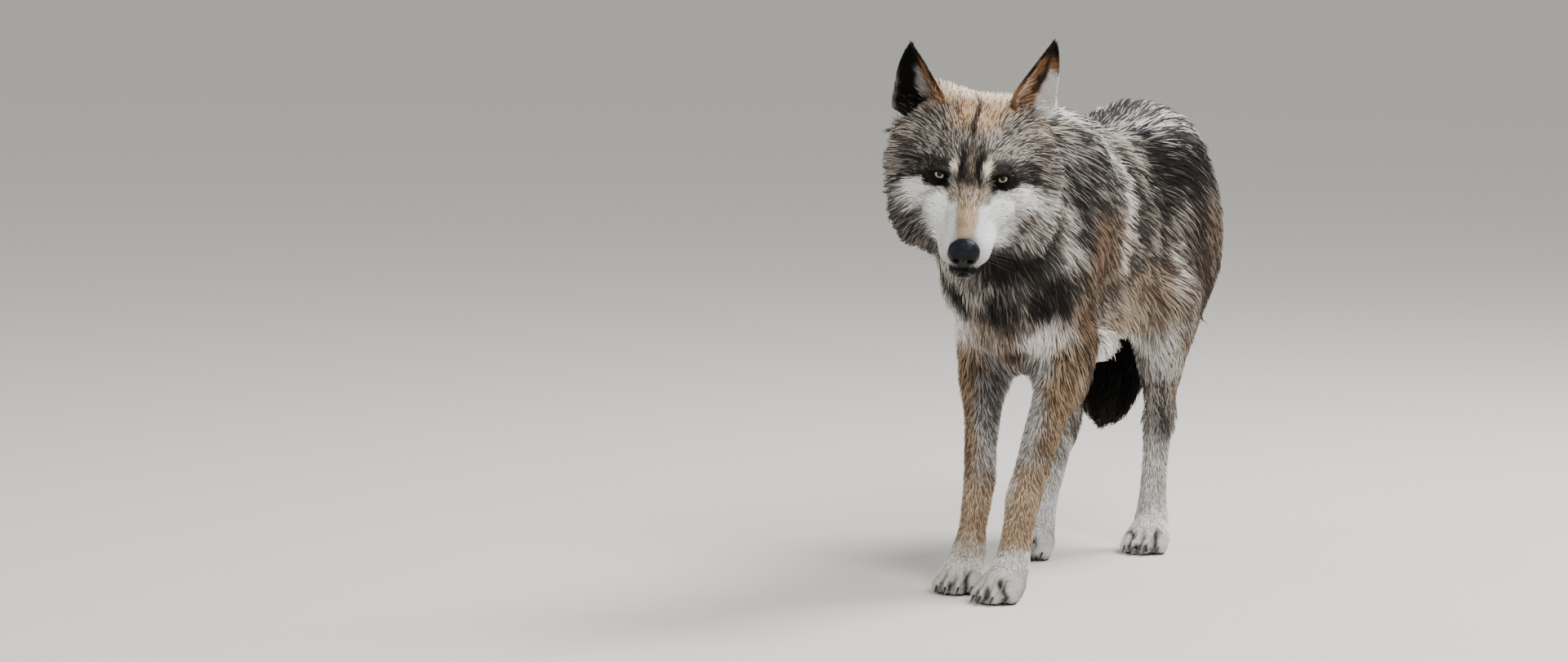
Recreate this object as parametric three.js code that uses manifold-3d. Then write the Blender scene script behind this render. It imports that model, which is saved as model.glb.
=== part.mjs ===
// A grey wolf standing in mid-step, head lowered and turned a little to its left, life size.
// Millimetres. +Z is up, the wolf faces -Y, and its left side is +X. The solids give the outline of the coat.
import * as THREE from "three";
import { mergeVertices } from "three/addons/utils/BufferGeometryUtils.js";
import Module from "manifold-3d";

const wasm = await Module();
wasm.setup();

// ---------------------------------------------------------------- driving dimensions
const gap = 0.4; // between touching pieces
const eyeRadius = 11.5;
const earHeight = 108;
const earBaseWidth = 88;
const clawLength = 19;
const head = { at: [-8, -412, 663], pitch: 27.5, yaw: 16, roll: 4.5 }; // degrees: nose down, to the left, left eye down

// ---------------------------------------------------------------- distance functions
const { min, max, abs, cos, sin } = Math;
const rad = (degrees) => (degrees * Math.PI) / 180;
const clamp = (x, low, high) => min(max(x, low), high);

// Two distances joined with a fillet of width k.
function blend(a, b, k) {
  const h = max(k - abs(a - b), 0) / k;
  return min(a, b) - (h * h * k) / 4;
}

// Distance to a ball that slides from a to b while its radius goes from ra to rb.
function limb(p, a, b, ra, rb) {
  const d = [b[0] - a[0], b[1] - a[1], b[2] - a[2]];
  const q = [p[0] - a[0], p[1] - a[1], p[2] - a[2]];
  const along = clamp((q[0] * d[0] + q[1] * d[1] + q[2] * d[2]) / (d[0] ** 2 + d[1] ** 2 + d[2] ** 2), 0, 1);
  return Math.hypot(q[0] - d[0] * along, q[1] - d[1] * along, q[2] - d[2] * along) - ra - (rb - ra) * along;
}

// Near-surface distance to an ellipsoid of half-sizes r, tipped nose-down by tilt degrees.
function mass(p, c, r, tilt = 0) {
  const t = rad(tilt);
  const y = (p[1] - c[1]) * cos(t) + (p[2] - c[2]) * sin(t);
  const z = (p[2] - c[2]) * cos(t) - (p[1] - c[1]) * sin(t);
  const x = p[0] - c[0];
  const k0 = Math.hypot(x / r[0], y / r[1], z / r[2]);
  const k1 = Math.hypot(x / r[0] ** 2, y / r[1] ** 2, z / r[2] ** 2);
  return k1 < 1e-9 ? -min(...r) : (k0 * (k0 - 1)) / k1;
}

const mirrorX = (p) => [abs(p[0]), p[1], p[2]];

// ---------------------------------------------------------------- head, in its own level frame
// The head's origin is where the skull meets the neck. The head frame faces -Y as the body does.
const headTurn = new THREE.Matrix4()
  .makeTranslation(...head.at)
  .multiply(new THREE.Matrix4().makeRotationZ(rad(head.yaw)))
  .multiply(new THREE.Matrix4().makeRotationX(rad(head.pitch)))
  .multiply(new THREE.Matrix4().makeRotationY(rad(head.roll)));
const intoHead = headTurn.clone().invert().elements;
const toHead = (p) =>
  [0, 1, 2].map((i) => intoHead[i] * p[0] + intoHead[4 + i] * p[1] + intoHead[8 + i] * p[2] + intoHead[12 + i]);
const fromHead = (p) => new THREE.Vector3(...p).applyMatrix4(headTurn).toArray();

const eye = [45, -131, 22];

function skullShape(world) {
  const h = toHead(world);
  const p = mirrorX(h);
  let d = mass(p, [0, -52, 20], [74, 78, 56]); // cranium
  d = blend(d, mass(p, [0, 10, 28], [86, 56, 48]), 30); // nape
  d = blend(d, mass(p, [24, -112, 36], [34, 38, 24]), 22); // brow
  d = blend(d, mass(p, [48, -90, -12], [38, 56, 40]), 34); // cheekbone
  d = blend(d, mass(p, [78, -34, -18], [56, 44, 72]), 30); // cheek ruff
  d = blend(d, mass(p, [66, -44, -92], [58, 46, 66], -8), 36); // lower ruff
  d = blend(d, mass(p, [56, 50, 48], [38, 24, 30]), 24); // behind the ear
  d = blend(d, mass(p, [0, -66, -80], [62, 72, 52]), 34); // throat
  d = blend(d, limb(p, [0, -140, -2], [0, -236, -24], 36, 25), 26); // muzzle bridge
  d = blend(d, mass(p, [19, -222, -36], [21, 36, 24], 8), 12); // whisker pad
  d = blend(d, limb(p, [0, -120, -52], [0, -220, -69], 32, 19), 18); // lower jaw
  const orbit = mass(p, [eye[0] + 3, eye[1] - 12, eye[2] - 2], [17, 15, 12]);
  return -blend(-d, orbit, 10);
}

// ---------------------------------------------------------------- trunk and neck
// How far the spine lies to the left of the middle plane: the rump swings to the left in mid-step.
function sway(y) {
  const t = clamp((y + 60) / 300, 0, 1);
  return 18 * t * t * (3 - 2 * t);
}

function trunkShape(w) {
  const p = mirrorX([w[0] - sway(w[1]), w[1], w[2]]);
  let d = mass(p, [0, -120, 530], [110, 235, 158]); // rib cage
  d = blend(d, mass(p, [0, -165, 622], [60, 135, 72]), 50); // withers
  d = blend(d, mass(p, [0, -160, 395], [68, 150, 84], 4), 50); // brisket
  d = blend(d, mass(p, [0, 60, 524], [106, 200, 146], -3), 60); // loin
  d = blend(d, mass(p, [0, 30, 425], [82, 180, 98], -6), 60); // belly
  d = blend(d, mass(p, [0, 232, 596], [108, 138, 100], -8), 60); // croup
  d = blend(d, limb(p, [44, -175, 612], [52, -262, 450], 54, 52), 40); // shoulder blade
  d = blend(d, limb(p, [54, -262, 450], [62, -212, 375], 50, 38), 36); // upper arm
  return blend(d, mass(p, [0, -265, 452], [74, 84, 110]), 46); // fore chest
}

function neckShape(w) {
  let d = limb(w, [0, -190, 556], [-6, -372, 622], 112, 90);
  d = blend(d, limb(w, [0, -245, 490], [-6, -344, 532], 94, 92), 50); // throat mane
  return blend(d, limb(w, [0, -180, 612], [-8, -350, 662], 74, 68), 40); // nape mane
}

// ---------------------------------------------------------------- legs
// side is +1 for the left leg and -1 for the right. Each chain runs from the trunk to the toes.
const legs = {
  front_left: {
    side: 1,
    chain: [[72, -222, 362], [36, -326, 146], [35, -372, 52]],
    radii: [36, 26, 24],
    bulge: { at: [70, -224, 335], size: [34, 44, 60] },
    paw: { heel: [33, -388, 22], turn: -4 },
  },
  front_right: {
    side: -1,
    chain: [[-64, -212, 372], [-55, -264, 156], [-59, -298, 54]],
    radii: [36, 24, 22],
    bulge: { at: [-64, -214, 342], size: [34, 44, 60] },
    paw: { heel: [-61, -312, 22], turn: 6 },
  },
  hind_left: {
    side: 1,
    chain: [[94, 142, 396], [51, 253, 212], [47, 235, 54]],
    radii: [60, 23, 22],
    bulge: { at: [88, 236, 500], size: [60, 116, 150] },
    paw: { heel: [50, 224, 21], turn: 3 },
  },
  hind_right: {
    side: -1,
    chain: [[-66, 110, 392], [-85, 206, 196], [-92, 106, 52]],
    radii: [60, 23, 22],
    bulge: { at: [-50, 228, 500], size: [60, 114, 150] },
    paw: { heel: [-90, 90, 21], turn: 2 },
  },
};
const toes = [-26, -9.5, 9.5, 26]; // across the paw
const toeReach = [46, 62, 62, 46]; // ahead of the heel pad
const toeRadius = 13.5;

function legShape(leg, p) {
  const [top, middle, low] = leg.chain;
  const [r0, r1, r2] = leg.radii;
  let d = limb(p, top, middle, r0, r1);
  d = blend(d, mass(p, leg.bulge.at, leg.bulge.size, leg.bulge.size[2] > 100 ? 28 : 0), 40);
  d = blend(d, limb(p, middle, low, r1, r2), 14);
  if (leg.bulge.size[2] > 100) {
    const point = [middle[0] + 2, middle[1] + 24, middle[2] + 22]; // point of the hock
    d = blend(d, limb(p, point, [middle[0], middle[1] + 6, middle[2] - 40], 14, 14), 14);
    d = blend(d, limb(p, point, [top[0], top[1] + 92, top[2] + 10], 12, 44), 26); // hamstring
  }
  return blend(d, pawShape(leg, p), 12);
}

// A point dx across and reach ahead of the heel pad, at height z.
function onPaw({ heel, turn }, dx, reach, z) {
  const a = rad(turn);
  return [heel[0] + dx * cos(a) + reach * sin(a), heel[1] + dx * sin(a) - reach * cos(a), z];
}

function pawShape({ paw, chain }, p) {
  let d = limb(p, chain[2], onPaw(paw, 0, 6, 26), 24, 29);
  d = blend(d, limb(p, onPaw(paw, 0, 0, 20), onPaw(paw, 0, 26, 24), 25, 29), 14);
  toes.forEach((dx, i) => {
    const knuckle = onPaw(paw, dx * 0.8, toeReach[i] - 26, 25);
    const tip = onPaw(paw, dx, toeReach[i], 12);
    d = blend(d, limb(p, knuckle, tip, toeRadius + 1.5, toeRadius), 6);
  });
  return d;
}

// ---------------------------------------------------------------- tail
const tail = [
  { at: [0, 318, 612], r: 44 },
  { at: [-2, 372, 545], r: 46 },
  { at: [-10, 386, 440], r: 58 },
  { at: [-26, 350, 330], r: 62 },
  { at: [-40, 300, 248], r: 48 },
  { at: [-44, 262, 205], r: 20 },
];

function tailShape(p) {
  let d = Infinity;
  for (let i = 1; i < tail.length; i++) {
    const piece = limb(p, tail[i - 1].at, tail[i].at, tail[i - 1].r, tail[i].r);
    d = i === 1 ? piece : blend(d, piece, 12);
  }
  return d;
}

// ---------------------------------------------------------------- the whole animal
const torso = (p) => blend(trunkShape(p), neckShape(p), 50);

function wolf(p) {
  let d = torso(p);
  if (p[1] < -250 && p[2] > 380) d = blend(d, skullShape(p), 34);
  for (const leg of Object.values(legs)) d = blend(d, legShape(leg, p), 30);
  return d;
}

// ---------------------------------------------------------------- from distance to mesh
const axes = [[1, 0, 0], [0, 1, 0], [0, 0, 1]];
const cubeEdges = [1, 2, 4].flatMap((bit) => [0, 1, 2, 3, 4, 5, 6, 7].filter((a) => !(a & bit)).map((a) => [a, a | bit]));
const cubeFaces = [1, 2, 4].flatMap((bit) => [0, bit].map((side) => cubeEdges.filter(([a, b]) => (a & bit) === side && (b & bit) === side)));
const edgeKey = (a, b) => a * 8 + b;

// The crossed edges of one cell, grouped into the separate sheets of surface that pass through it.
function sheetsOf(v) {
  const crossed = cubeEdges.filter(([a, b]) => v[a] < 0 !== v[b] < 0);
  const group = new Map(crossed.map((e, i) => [edgeKey(...e), i]));
  const join = (e, f) => {
    const [keep, drop] = [group.get(edgeKey(...e)), group.get(edgeKey(...f))];
    for (const [key, g] of group) if (g === drop) group.set(key, keep);
  };
  const inner = ([a, b]) => (v[a] < 0 ? a : b);
  for (const face of cubeFaces) {
    const here = face.filter((e) => group.has(edgeKey(...e)));
    if (here.length === 2) join(...here);
    for (const e of here.length === 4 ? here : [])
      for (const f of here) if (e !== f && inner(e) === inner(f)) join(e, f);
  }
  return [crossed, group];
}

// Where the inside and the outside face each other crosswise on a cell's face, the corner nearest the surface changes
// side, so that no two sheets share an edge.
function clearCrossings(value, everyCell, id, cell) {
  let changed = 1;
  for (let pass = 0; changed && pass < 30; pass++) {
    changed = 0;
    everyCell(0, (i, j, k) => {
      for (let m = 0; m < 3; m++) {
        const u = axes[(m + 1) % 3];
        const w = axes[(m + 2) % 3];
        const at = [[0, 0], [1, 0], [1, 1], [0, 1]].map(([a, b]) =>
          id(i + a * u[0] + b * w[0], j + a * u[1] + b * w[1], k + a * u[2] + b * w[2]));
        const side = at.map((x) => value[x] < 0);
        if (side[0] !== side[2] || side[1] !== side[3] || side[0] === side[1]) continue;
        const nearest = at.filter((x) => value[x] < 0).sort((a, b) => value[b] - value[a])[0];
        value[nearest] = cell * 0.01;
        changed++;
      }
    });
  }
}

// One vertex for each sheet in each cell that the surface crosses, moved onto the surface, and one quad for each crossed edge.
function surface(shape, box, cell) {
  const [low, high] = box;
  const n = [0, 1, 2].map((i) => Math.ceil((high[i] - low[i]) / cell) + 1);
  const place = (i, j, k) => [low[0] + i * cell, low[1] + j * cell, low[2] + k * cell];
  const id = (i, j, k) => (k * n[1] + j) * n[0] + i;
  const value = new Float64Array(n[0] * n[1] * n[2]);
  const everyCell = (from, visit) => {
    for (let k = from; k < n[2] - 1; k++)
      for (let j = from; j < n[1] - 1; j++) for (let i = from; i < n[0] - 1; i++) visit(i, j, k);
  };
  value.fill(cell);
  everyCell(1, (i, j, k) => (value[id(i, j, k)] = shape(place(i, j, k))));
  clearCrossings(value, everyCell, id, cell);
  const vertexOf = new Map();
  const points = [];
  everyCell(0, (i, j, k) => {
    const corners = [];
    for (let c = 0; c < 8; c++) corners.push([i + (c & 1), j + ((c >> 1) & 1), k + (c >> 2)]);
    const v = corners.map((c) => value[id(...c)]);
    if (v.every((x) => x < 0) || v.every((x) => x >= 0)) return;
    const [crossed, group] = sheetsOf(v);
    const made = new Map();
    for (const g of new Set(group.values())) {
      const edges = crossed.filter((e) => group.get(edgeKey(...e)) === g);
      const middle = [0, 0, 0];
      for (const [a, b] of edges)
        for (let m = 0; m < 3; m++)
          middle[m] += (corners[a][m] + (v[a] / (v[a] - v[b])) * (corners[b][m] - corners[a][m])) / edges.length;
      for (const e of edges) made.set(edgeKey(...e), points.length);
      points.push(ontoSurface(shape, place(...middle), place(i, j, k), cell));
    }
    vertexOf.set(id(i, j, k), made);
  });
  const triangles = [];
  everyCell(0, (i, j, k) => {
    axes.forEach((axis, m) => {
      if ([i, j, k].some((x, other) => other !== m && x === 0)) return;
      const inside = value[id(i, j, k)] < 0;
      if (inside === value[id(i + axis[0], j + axis[1], k + axis[2])] < 0) return;
      const u = axes[(m + 1) % 3];
      const w = axes[(m + 2) % 3];
      const corner = (a, b) => {
        const local = a * 2 ** ((m + 1) % 3) + b * 2 ** ((m + 2) % 3);
        const cellOf = vertexOf.get(id(i - a * u[0] - b * w[0], j - a * u[1] - b * w[1], k - a * u[2] - b * w[2]));
        return cellOf.get(edgeKey(local, local | (2 ** m)));
      };
      const quad = [corner(0, 0), corner(1, 0), corner(1, 1), corner(0, 1)];
      if (!inside) quad.reverse();
      triangles.push(...splitQuad(quad, points));
    });
  });
  return { points, triangles };
}

function splitQuad([a, b, c, d], points) {
  const gapOf = (p, q) => Math.hypot(...points[p].map((x, i) => x - points[q][i]));
  return gapOf(a, c) < gapOf(b, d) ? [a, b, c, a, c, d] : [a, b, d, b, c, d];
}

// Walks a point along the slope of the distance until it lies on the surface, without leaving its cell.
function ontoSurface(shape, start, corner, cell) {
  const p = [...start];
  const step = 0.5;
  for (let turn = 0; turn < 6; turn++) {
    const here = shape(p);
    const slope = [0, 1, 2].map((i) => {
      const q = [...p];
      q[i] += step;
      return (shape(q) - here) / step;
    });
    const steep = max(slope[0] ** 2 + slope[1] ** 2 + slope[2] ** 2, 0.2);
    for (let i = 0; i < 3; i++)
      p[i] = clamp(p[i] - (here * slope[i]) / steep, corner[i] + 0.05 * cell, corner[i] + 0.95 * cell);
  }
  return p;
}

const solidFrom = (vertices, triangles) =>
  new wasm.Manifold(
    new wasm.Mesh({ numProp: 3, vertProperties: new Float32Array(vertices), triVerts: new Uint32Array(triangles) }),
  );

// Where two sheets meet along an edge of the grid, the grid is shifted a little and tried again.
function solid(shape, [low, high], cell) {
  for (let shift = 0; shift < 12; shift++) {
    const moved = low.map((x, i) => x - shift * cell * [0.13, 0.19, 0.29][i]);
    const { points, triangles } = surface(shape, [moved, high], cell);
    try {
      return largest(solidFrom(points.flat(), triangles));
    } catch {
      continue;
    }
  }
  throw new Error("no closed surface in " + low);
}

const largest = (s) => s.decompose().sort((a, b) => b.volume() - a.volume())[0];

function geometryOf(s) {
  const m = s.getMesh();
  const xyz = new Float32Array(m.numVert * 3);
  for (let i = 0; i < m.numVert; i++)
    for (let a = 0; a < 3; a++) xyz[i * 3 + a] = m.vertProperties[i * m.numProp + a];
  const g = new THREE.BufferGeometry();
  g.setAttribute("position", new THREE.BufferAttribute(xyz, 3));
  g.setIndex(new THREE.BufferAttribute(m.triVerts, 1));
  g.computeVertexNormals();
  return g;
}

function solidOfGeometry(geometry) {
  const g = geometry.clone();
  g.deleteAttribute("normal");
  g.deleteAttribute("uv");
  const merged = mergeVertices(g, 1e-3);
  return solidFrom(merged.attributes.position.array, merged.index.array);
}

// ---------------------------------------------------------------- ears, eyes, nose and claws
const pinna = { rows: 7, columns: 4, cup: 24, thickness: 7, sunk: 0.25 };
const earPose = {
  left: { root: [73, 6, 54], lean: 19, backward: 21, turnOut: 45 }, // turned out to listen behind
  right: { root: [82, 4, 42], lean: 12, backward: 3, turnOut: 20 },
};

// A cupped leaf, from rings that run round its back and its front. side is +1 for the left ear.
function earGeometry(name, side, grow = 0) {
  const { rows, columns, cup, thickness, sunk } = pinna;
  const ring = 2 * (columns + 1);
  const points = [];
  for (let r = 0; r <= rows; r++) {
    const u = -sunk + ((1 + sunk) * r) / rows;
    const up = max(u, 0);
    const half = (earBaseWidth / 2) * (1 - 0.985 * up ** 1.5) ** 0.8 + grow;
    const wall = thickness * (1 - 0.45 * up) + 2 * grow;
    for (let c = 0; c < ring; c++) {
      const back = c <= columns;
      const v = back ? -1 + (2 * c) / columns : 1 - (2 * (c - columns - 1)) / columns;
      const hollow = cup * (1 - 0.75 * up) * (1 - v * v);
      points.push(side * half * v, hollow + (back ? wall / 2 : -wall / 2), earHeight * u + grow * (r === rows));
    }
  }
  const index = [];
  for (let r = 0; r < rows; r++)
    for (let c = 0; c < ring; c++) {
      const [a, b] = [r * ring + c, r * ring + ((c + 1) % ring)];
      index.push(a, b, b + ring, a, b + ring, a + ring);
    }
  for (let c = 0; c < columns; c++) {
    const [a, b, m, n] = [c, c + 1, ring - 2 - c, ring - 1 - c];
    index.push(a, m, b, a, n, m);
    index.push(...[a, b, m, a, m, n].map((i) => i + rows * ring));
  }
  if (side > 0) index.reverse();
  const g = new THREE.BufferGeometry();
  g.setAttribute("position", new THREE.Float32BufferAttribute(points, 3));
  g.setIndex(index);
  const { root, lean, backward, turnOut } = earPose[name];
  g.rotateZ(rad(side * turnOut));
  g.rotateY(rad(side * lean));
  g.rotateX(rad(-backward));
  g.translate(side * root[0], root[1], root[2]);
  return g.applyMatrix4(headTurn);
}

function eyeGeometry(side, grow = 0) {
  const g = new THREE.IcosahedronGeometry(eyeRadius + grow, 1);
  g.translate(side * eye[0], eye[1], eye[2]);
  return g.applyMatrix4(headTurn);
}

const noseShape = (grow) => (world) => {
  const p = mirrorX(toHead(world));
  let d = mass(p, [0, -255, -20], [22, 15, 16], 20);
  d = blend(d, mass(p, [11, -256, -24], [12, 13, 11]), 6);
  d = blend(d, mass(p, [0, -257, -34], [7, 10, 10]), 6);
  return d - grow;
};

function clawGeometry(leg, i, grow = 0) {
  const g = new THREE.ConeGeometry(3.6 + grow, clawLength + 2 * grow, 5, 2);
  const xyz = g.attributes.position;
  for (let v = 0; v < xyz.count; v++) {
    const along = 0.5 + xyz.getY(v) / clawLength;
    xyz.setZ(v, xyz.getZ(v) + 3.5 * along * along); // the hook
  }
  const tip = onPaw(leg.paw, toes[i] * 1.02, toeReach[i] + toeRadius - 5 + clawLength / 2, 11);
  g.rotateX(rad(-108));
  g.rotateZ(rad(leg.paw.turn));
  return g.translate(...tip);
}

// ---------------------------------------------------------------- nodes
const finishes = {
  coat: new THREE.MeshStandardMaterial({ color: 0x8f8175, roughness: 0.9, metalness: 0 }),
  eye: new THREE.MeshStandardMaterial({ color: 0xa8842c, roughness: 0.1, metalness: 0 }),
  nose: new THREE.MeshStandardMaterial({ color: 0x17161a, roughness: 0.45, metalness: 0 }),
  claw: new THREE.MeshStandardMaterial({ color: 0x2a2522, roughness: 0.5, metalness: 0 }),
};
const group = new THREE.Group();


function node(name, s, finish) {
  const mesh = new THREE.Mesh(geometryOf(s), finish);
  mesh.name = name;
  group.add(mesh);
}

// Half-spaces. n points into the side that is kept.
function halfSpace(at, normal) {
  const n = new THREE.Vector3(...normal).normalize();
  return { n: n.toArray(), d: n.dot(new THREE.Vector3(...at)) };
}
const other = ({ n, d }) => ({ n: n.map((x) => -x), d: -d });
const keep = (s, sides, inset = gap / 2) => sides.reduce((t, { n, d }) => t.trimByPlane(n, d + inset), s);

const behindHead = halfSpace([-8, -398, 650], [0.03, 0.83, -0.56]);
const behindNeck = halfSpace([0, -278, 560], [0.03, 0.83, -0.56]);
const behindMuzzle = halfSpace(fromHead([0, -152, 0]), fromHead([0, 1, 0]).map((x, i) => x - head.at[i]));
const aboveFloor = { n: [0, 0, 1], d: 0 };
// A foreleg starts at a slanting cut across the upper arm, a hind leg at one across the thigh from the hip to the groin.
const legCut = {
  front: (side) => [halfSpace([side * 18, 0, 318], [side * 0.7, 0, -0.71]), halfSpace([0, -140, 0], [0, -1, -0.15])],
  hind: (side) => [halfSpace([side * 20 + 12, 0, 395], [side * 0.86, 0, -0.5]), halfSpace([0, 30, 380], [0, 0.95, -0.3])],
};

const bodyBox = [[-200, -560, 180], [200, 420, 800]];
const bodySolid = solid(wolf, bodyBox, 22).simplify(4);

const both = [["left", 1], ["right", -1]];
const headWhole = keep(solid(wolf, [[-220, -720, 440], [230, -330, 830]], 12).simplify(2.7), [other(behindHead)]);
let headSolid = keep(headWhole, [behindMuzzle]);
let muzzleSolid = keep(headWhole, [other(behindMuzzle)]);
let neckSolid = keep(bodySolid, [behindHead, other(behindNeck)]);
for (const [name, side] of both) {
  const socket = solidOfGeometry(earGeometry(name, side, gap));
  headSolid = headSolid.subtract(socket);
  neckSolid = neckSolid.subtract(socket);
  node("ear_" + name, solidOfGeometry(earGeometry(name, side)), finishes.coat);
  headSolid = headSolid.subtract(solidOfGeometry(eyeGeometry(side, gap)));
  node("eye_" + name, solidOfGeometry(eyeGeometry(side)), finishes.eye);
}
const noseBox = [fromHead([0, -256, -20]).map((x) => x - 50), fromHead([0, -256, -20]).map((x) => x + 50)];
node("nose", solid(noseShape(0), noseBox, 9), finishes.nose);
muzzleSolid = muzzleSolid.subtract(solid(noseShape(2 * gap), noseBox, 9));
node("head", largest(headSolid), finishes.coat);
node("muzzle", largest(muzzleSolid), finishes.coat);
node("neck", largest(neckSolid), finishes.coat);

let trunkSolid = keep(bodySolid, [behindNeck]);
const besideTail = [bodySolid];
for (const [name, leg] of Object.entries(legs)) {
  const { side, chain, paw } = leg;
  const cuts = [...legCut[name.split("_")[0]](side), halfSpace([0, 0, 0], [side, 0, 0])];
  trunkSolid = trunkSolid.subtract(keep(wasm.Manifold.cube([3000, 3000, 3000], true), cuts, -gap / 2));
  const abovePaw = { n: [0, 0, 1], d: chain[2][2] + 10 };
  const front = name.startsWith("front");
  const legBox = [[-200, chain[0][1] - 200, 20], [200, chain[0][1] + 260, 700]];
  const legSolid = solid(wolf, legBox, front ? 17 : 21).simplify(3.4);
  node("leg_" + name, largest(keep(legSolid, [...cuts, abovePaw])), finishes.coat);
  if (!front) besideTail.push(keep(legSolid, [...cuts, abovePaw]));
  const pawBox = [[paw.heel[0] - 60, paw.heel[1] - 100, -16], [paw.heel[0] + 60, paw.heel[1] + 60, 90]];
  const pawWhole = solid(wolf, pawBox, 11).simplify(2.2);
  let pawSolid = keep(keep(pawWhole, [other(abovePaw)]), [aboveFloor], 0);
  toes.forEach((_, i) => {
    pawSolid = pawSolid.subtract(solidOfGeometry(clawGeometry(leg, i, gap)));
    node(`claw_${name}_${i + 1}`, solidOfGeometry(clawGeometry(leg, i)), finishes.claw);
  });
  node("paw_" + name, largest(pawSolid), finishes.coat);
}
let tailSolid = solid(tailShape, [[-120, 240, 160], [90, 470, 680]], 22).simplify(5);
for (const s of besideTail)
  for (const shift of [[0, gap, 0], [gap, 0, 0], [-gap, 0, 0], [0, 0, 0]]) tailSolid = tailSolid.subtract(s.translate(shift));
node("tail", largest(tailSolid), finishes.coat);
node("trunk", largest(trunkSolid), finishes.coat);

// The origin is on the floor, below the middle of the box around the whole wolf.
const whole = new THREE.Box3().setFromObject(group);
const middle = whole.getCenter(new THREE.Vector3());
for (const mesh of group.children) mesh.geometry.translate(-middle.x, -middle.y, -whole.min.z);

export default group;
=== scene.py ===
import math

import bpy
import numpy as np
from mathutils import Matrix, Vector
from mathutils.bvhtree import BVHTree
from mathutils.kdtree import KDTree


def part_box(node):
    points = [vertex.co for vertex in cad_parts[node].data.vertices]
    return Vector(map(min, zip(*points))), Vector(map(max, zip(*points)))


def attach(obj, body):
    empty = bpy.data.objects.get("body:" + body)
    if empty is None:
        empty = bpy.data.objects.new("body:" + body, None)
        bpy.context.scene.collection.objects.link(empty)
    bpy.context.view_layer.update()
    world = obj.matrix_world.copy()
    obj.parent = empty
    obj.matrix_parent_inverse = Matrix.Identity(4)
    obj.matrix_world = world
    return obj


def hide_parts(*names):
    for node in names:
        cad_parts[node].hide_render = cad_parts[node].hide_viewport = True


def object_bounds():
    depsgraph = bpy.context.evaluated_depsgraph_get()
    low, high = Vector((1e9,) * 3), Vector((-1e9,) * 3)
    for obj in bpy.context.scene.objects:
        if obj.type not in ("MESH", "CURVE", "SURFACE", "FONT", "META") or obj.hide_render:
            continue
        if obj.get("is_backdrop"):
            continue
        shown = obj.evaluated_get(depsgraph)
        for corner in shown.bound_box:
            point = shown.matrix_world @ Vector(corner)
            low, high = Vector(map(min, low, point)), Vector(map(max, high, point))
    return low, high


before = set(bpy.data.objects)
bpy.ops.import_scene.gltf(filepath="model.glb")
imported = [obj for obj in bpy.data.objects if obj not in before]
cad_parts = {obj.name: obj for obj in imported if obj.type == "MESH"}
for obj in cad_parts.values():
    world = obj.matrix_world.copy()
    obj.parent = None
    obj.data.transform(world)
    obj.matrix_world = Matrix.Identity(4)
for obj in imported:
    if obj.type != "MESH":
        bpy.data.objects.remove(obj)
startLow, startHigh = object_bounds()
rng = np.random.default_rng(41)
mm = 0.001
print("wolf: frame loaded")

# The wolf is planned in millimetres, in the frame it was posed in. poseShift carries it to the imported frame.
headPose = {"at": (-8, -412, 663), "pitch": 27.5, "yaw": 16, "roll": 4.5}
eyePlan = {
    "place": (45, -131, 22), "radius": 11.5, "segments": 64,
    "bulge": 0.09, "corneaEdge": 36,  # the cornea stands out by this share, so many degrees round the gaze
    # painted shade: the shadow of the upper lid darkens the eye's colour above its middle
    "shade": 0.82, "shadeFrom": -1.6, "shadeTo": 3.4,  # the upper lid darkens the eye above its middle
}
rumpSway = {"left": 18, "from": -60, "to": 240}
headTurn = (
    Matrix.Translation(headPose["at"])
    @ Matrix.Rotation(math.radians(headPose["yaw"]), 4, "Z")
    @ Matrix.Rotation(math.radians(headPose["pitch"]), 4, "X")
    @ Matrix.Rotation(math.radians(headPose["roll"]), 4, "Y")
)
boxLow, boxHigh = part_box("eye_left")
poseShift = (boxLow + boxHigh) / 2 / mm - headTurn @ Vector(eyePlan["place"])
planMatrix = Matrix.Scale(mm, 4) @ Matrix.Translation(poseShift)  # plan millimetres to metres
headMatrix = planMatrix @ headTurn


def carry(matrix, points):
    a = np.array(matrix)
    return points @ a[:3, :3].T + a[:3, 3]


def toPlan(points):
    return carry(planMatrix.inverted(), points)


def toHead(points):
    return carry(headTurn.inverted(), points)


def unit(v):
    return v / np.maximum(np.linalg.norm(v, axis=-1, keepdims=True), 1e-9)


def ramp(value, low, high):
    t = np.clip((value - low) / (high - low), 0, 1)
    return t * t * (3 - 2 * t)


def sway(y):  # the rump swings to the left
    return rumpSway["left"] * ramp(y, rumpSway["from"], rumpSway["to"])


def folded(points, middle=0):  # the right side laid over the left
    out = points.copy()
    out[:, 0] = np.abs(points[:, 0] - middle)
    return out


def foldedBody(plan):
    return folded(plan, sway(plan[:, 1]))


def farFrom(points, at, size=1):
    return np.linalg.norm((points - np.array(at)) / np.array(size), axis=1)


def linear(hexColour):
    out = []
    for i in (1, 3, 5):
        c = int(hexColour[i:i + 2], 16) / 255
        out.append(c / 12.92 if c <= 0.04045 else ((c + 0.055) / 1.055) ** 2.4)
    return np.array(out)


mottlePlan = {"waves": 9, "fineness": (0.6, 1.6), "height": 4.2}


def mottle(points, size, seed):  # smooth noise from -1 to 1, with spots of about this size in mm
    local = np.random.default_rng(seed)
    total = np.zeros(len(points))
    for _ in range(mottlePlan["waves"]):
        direction = local.normal(size=3)
        direction *= local.uniform(*mottlePlan["fineness"]) / np.linalg.norm(direction)
        total += np.sin(points @ direction * (2 * math.pi / size) + local.uniform(0, 6.28))
    return np.clip(total / mottlePlan["height"], -1, 1)


def select(*things):
    if bpy.context.object and bpy.context.object.mode != "OBJECT":
        bpy.ops.object.mode_set(mode="OBJECT")
    bpy.ops.object.select_all(action="DESELECT")
    for thing in things:
        thing.select_set(True)
    bpy.context.view_layer.objects.active = things[-1]


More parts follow.
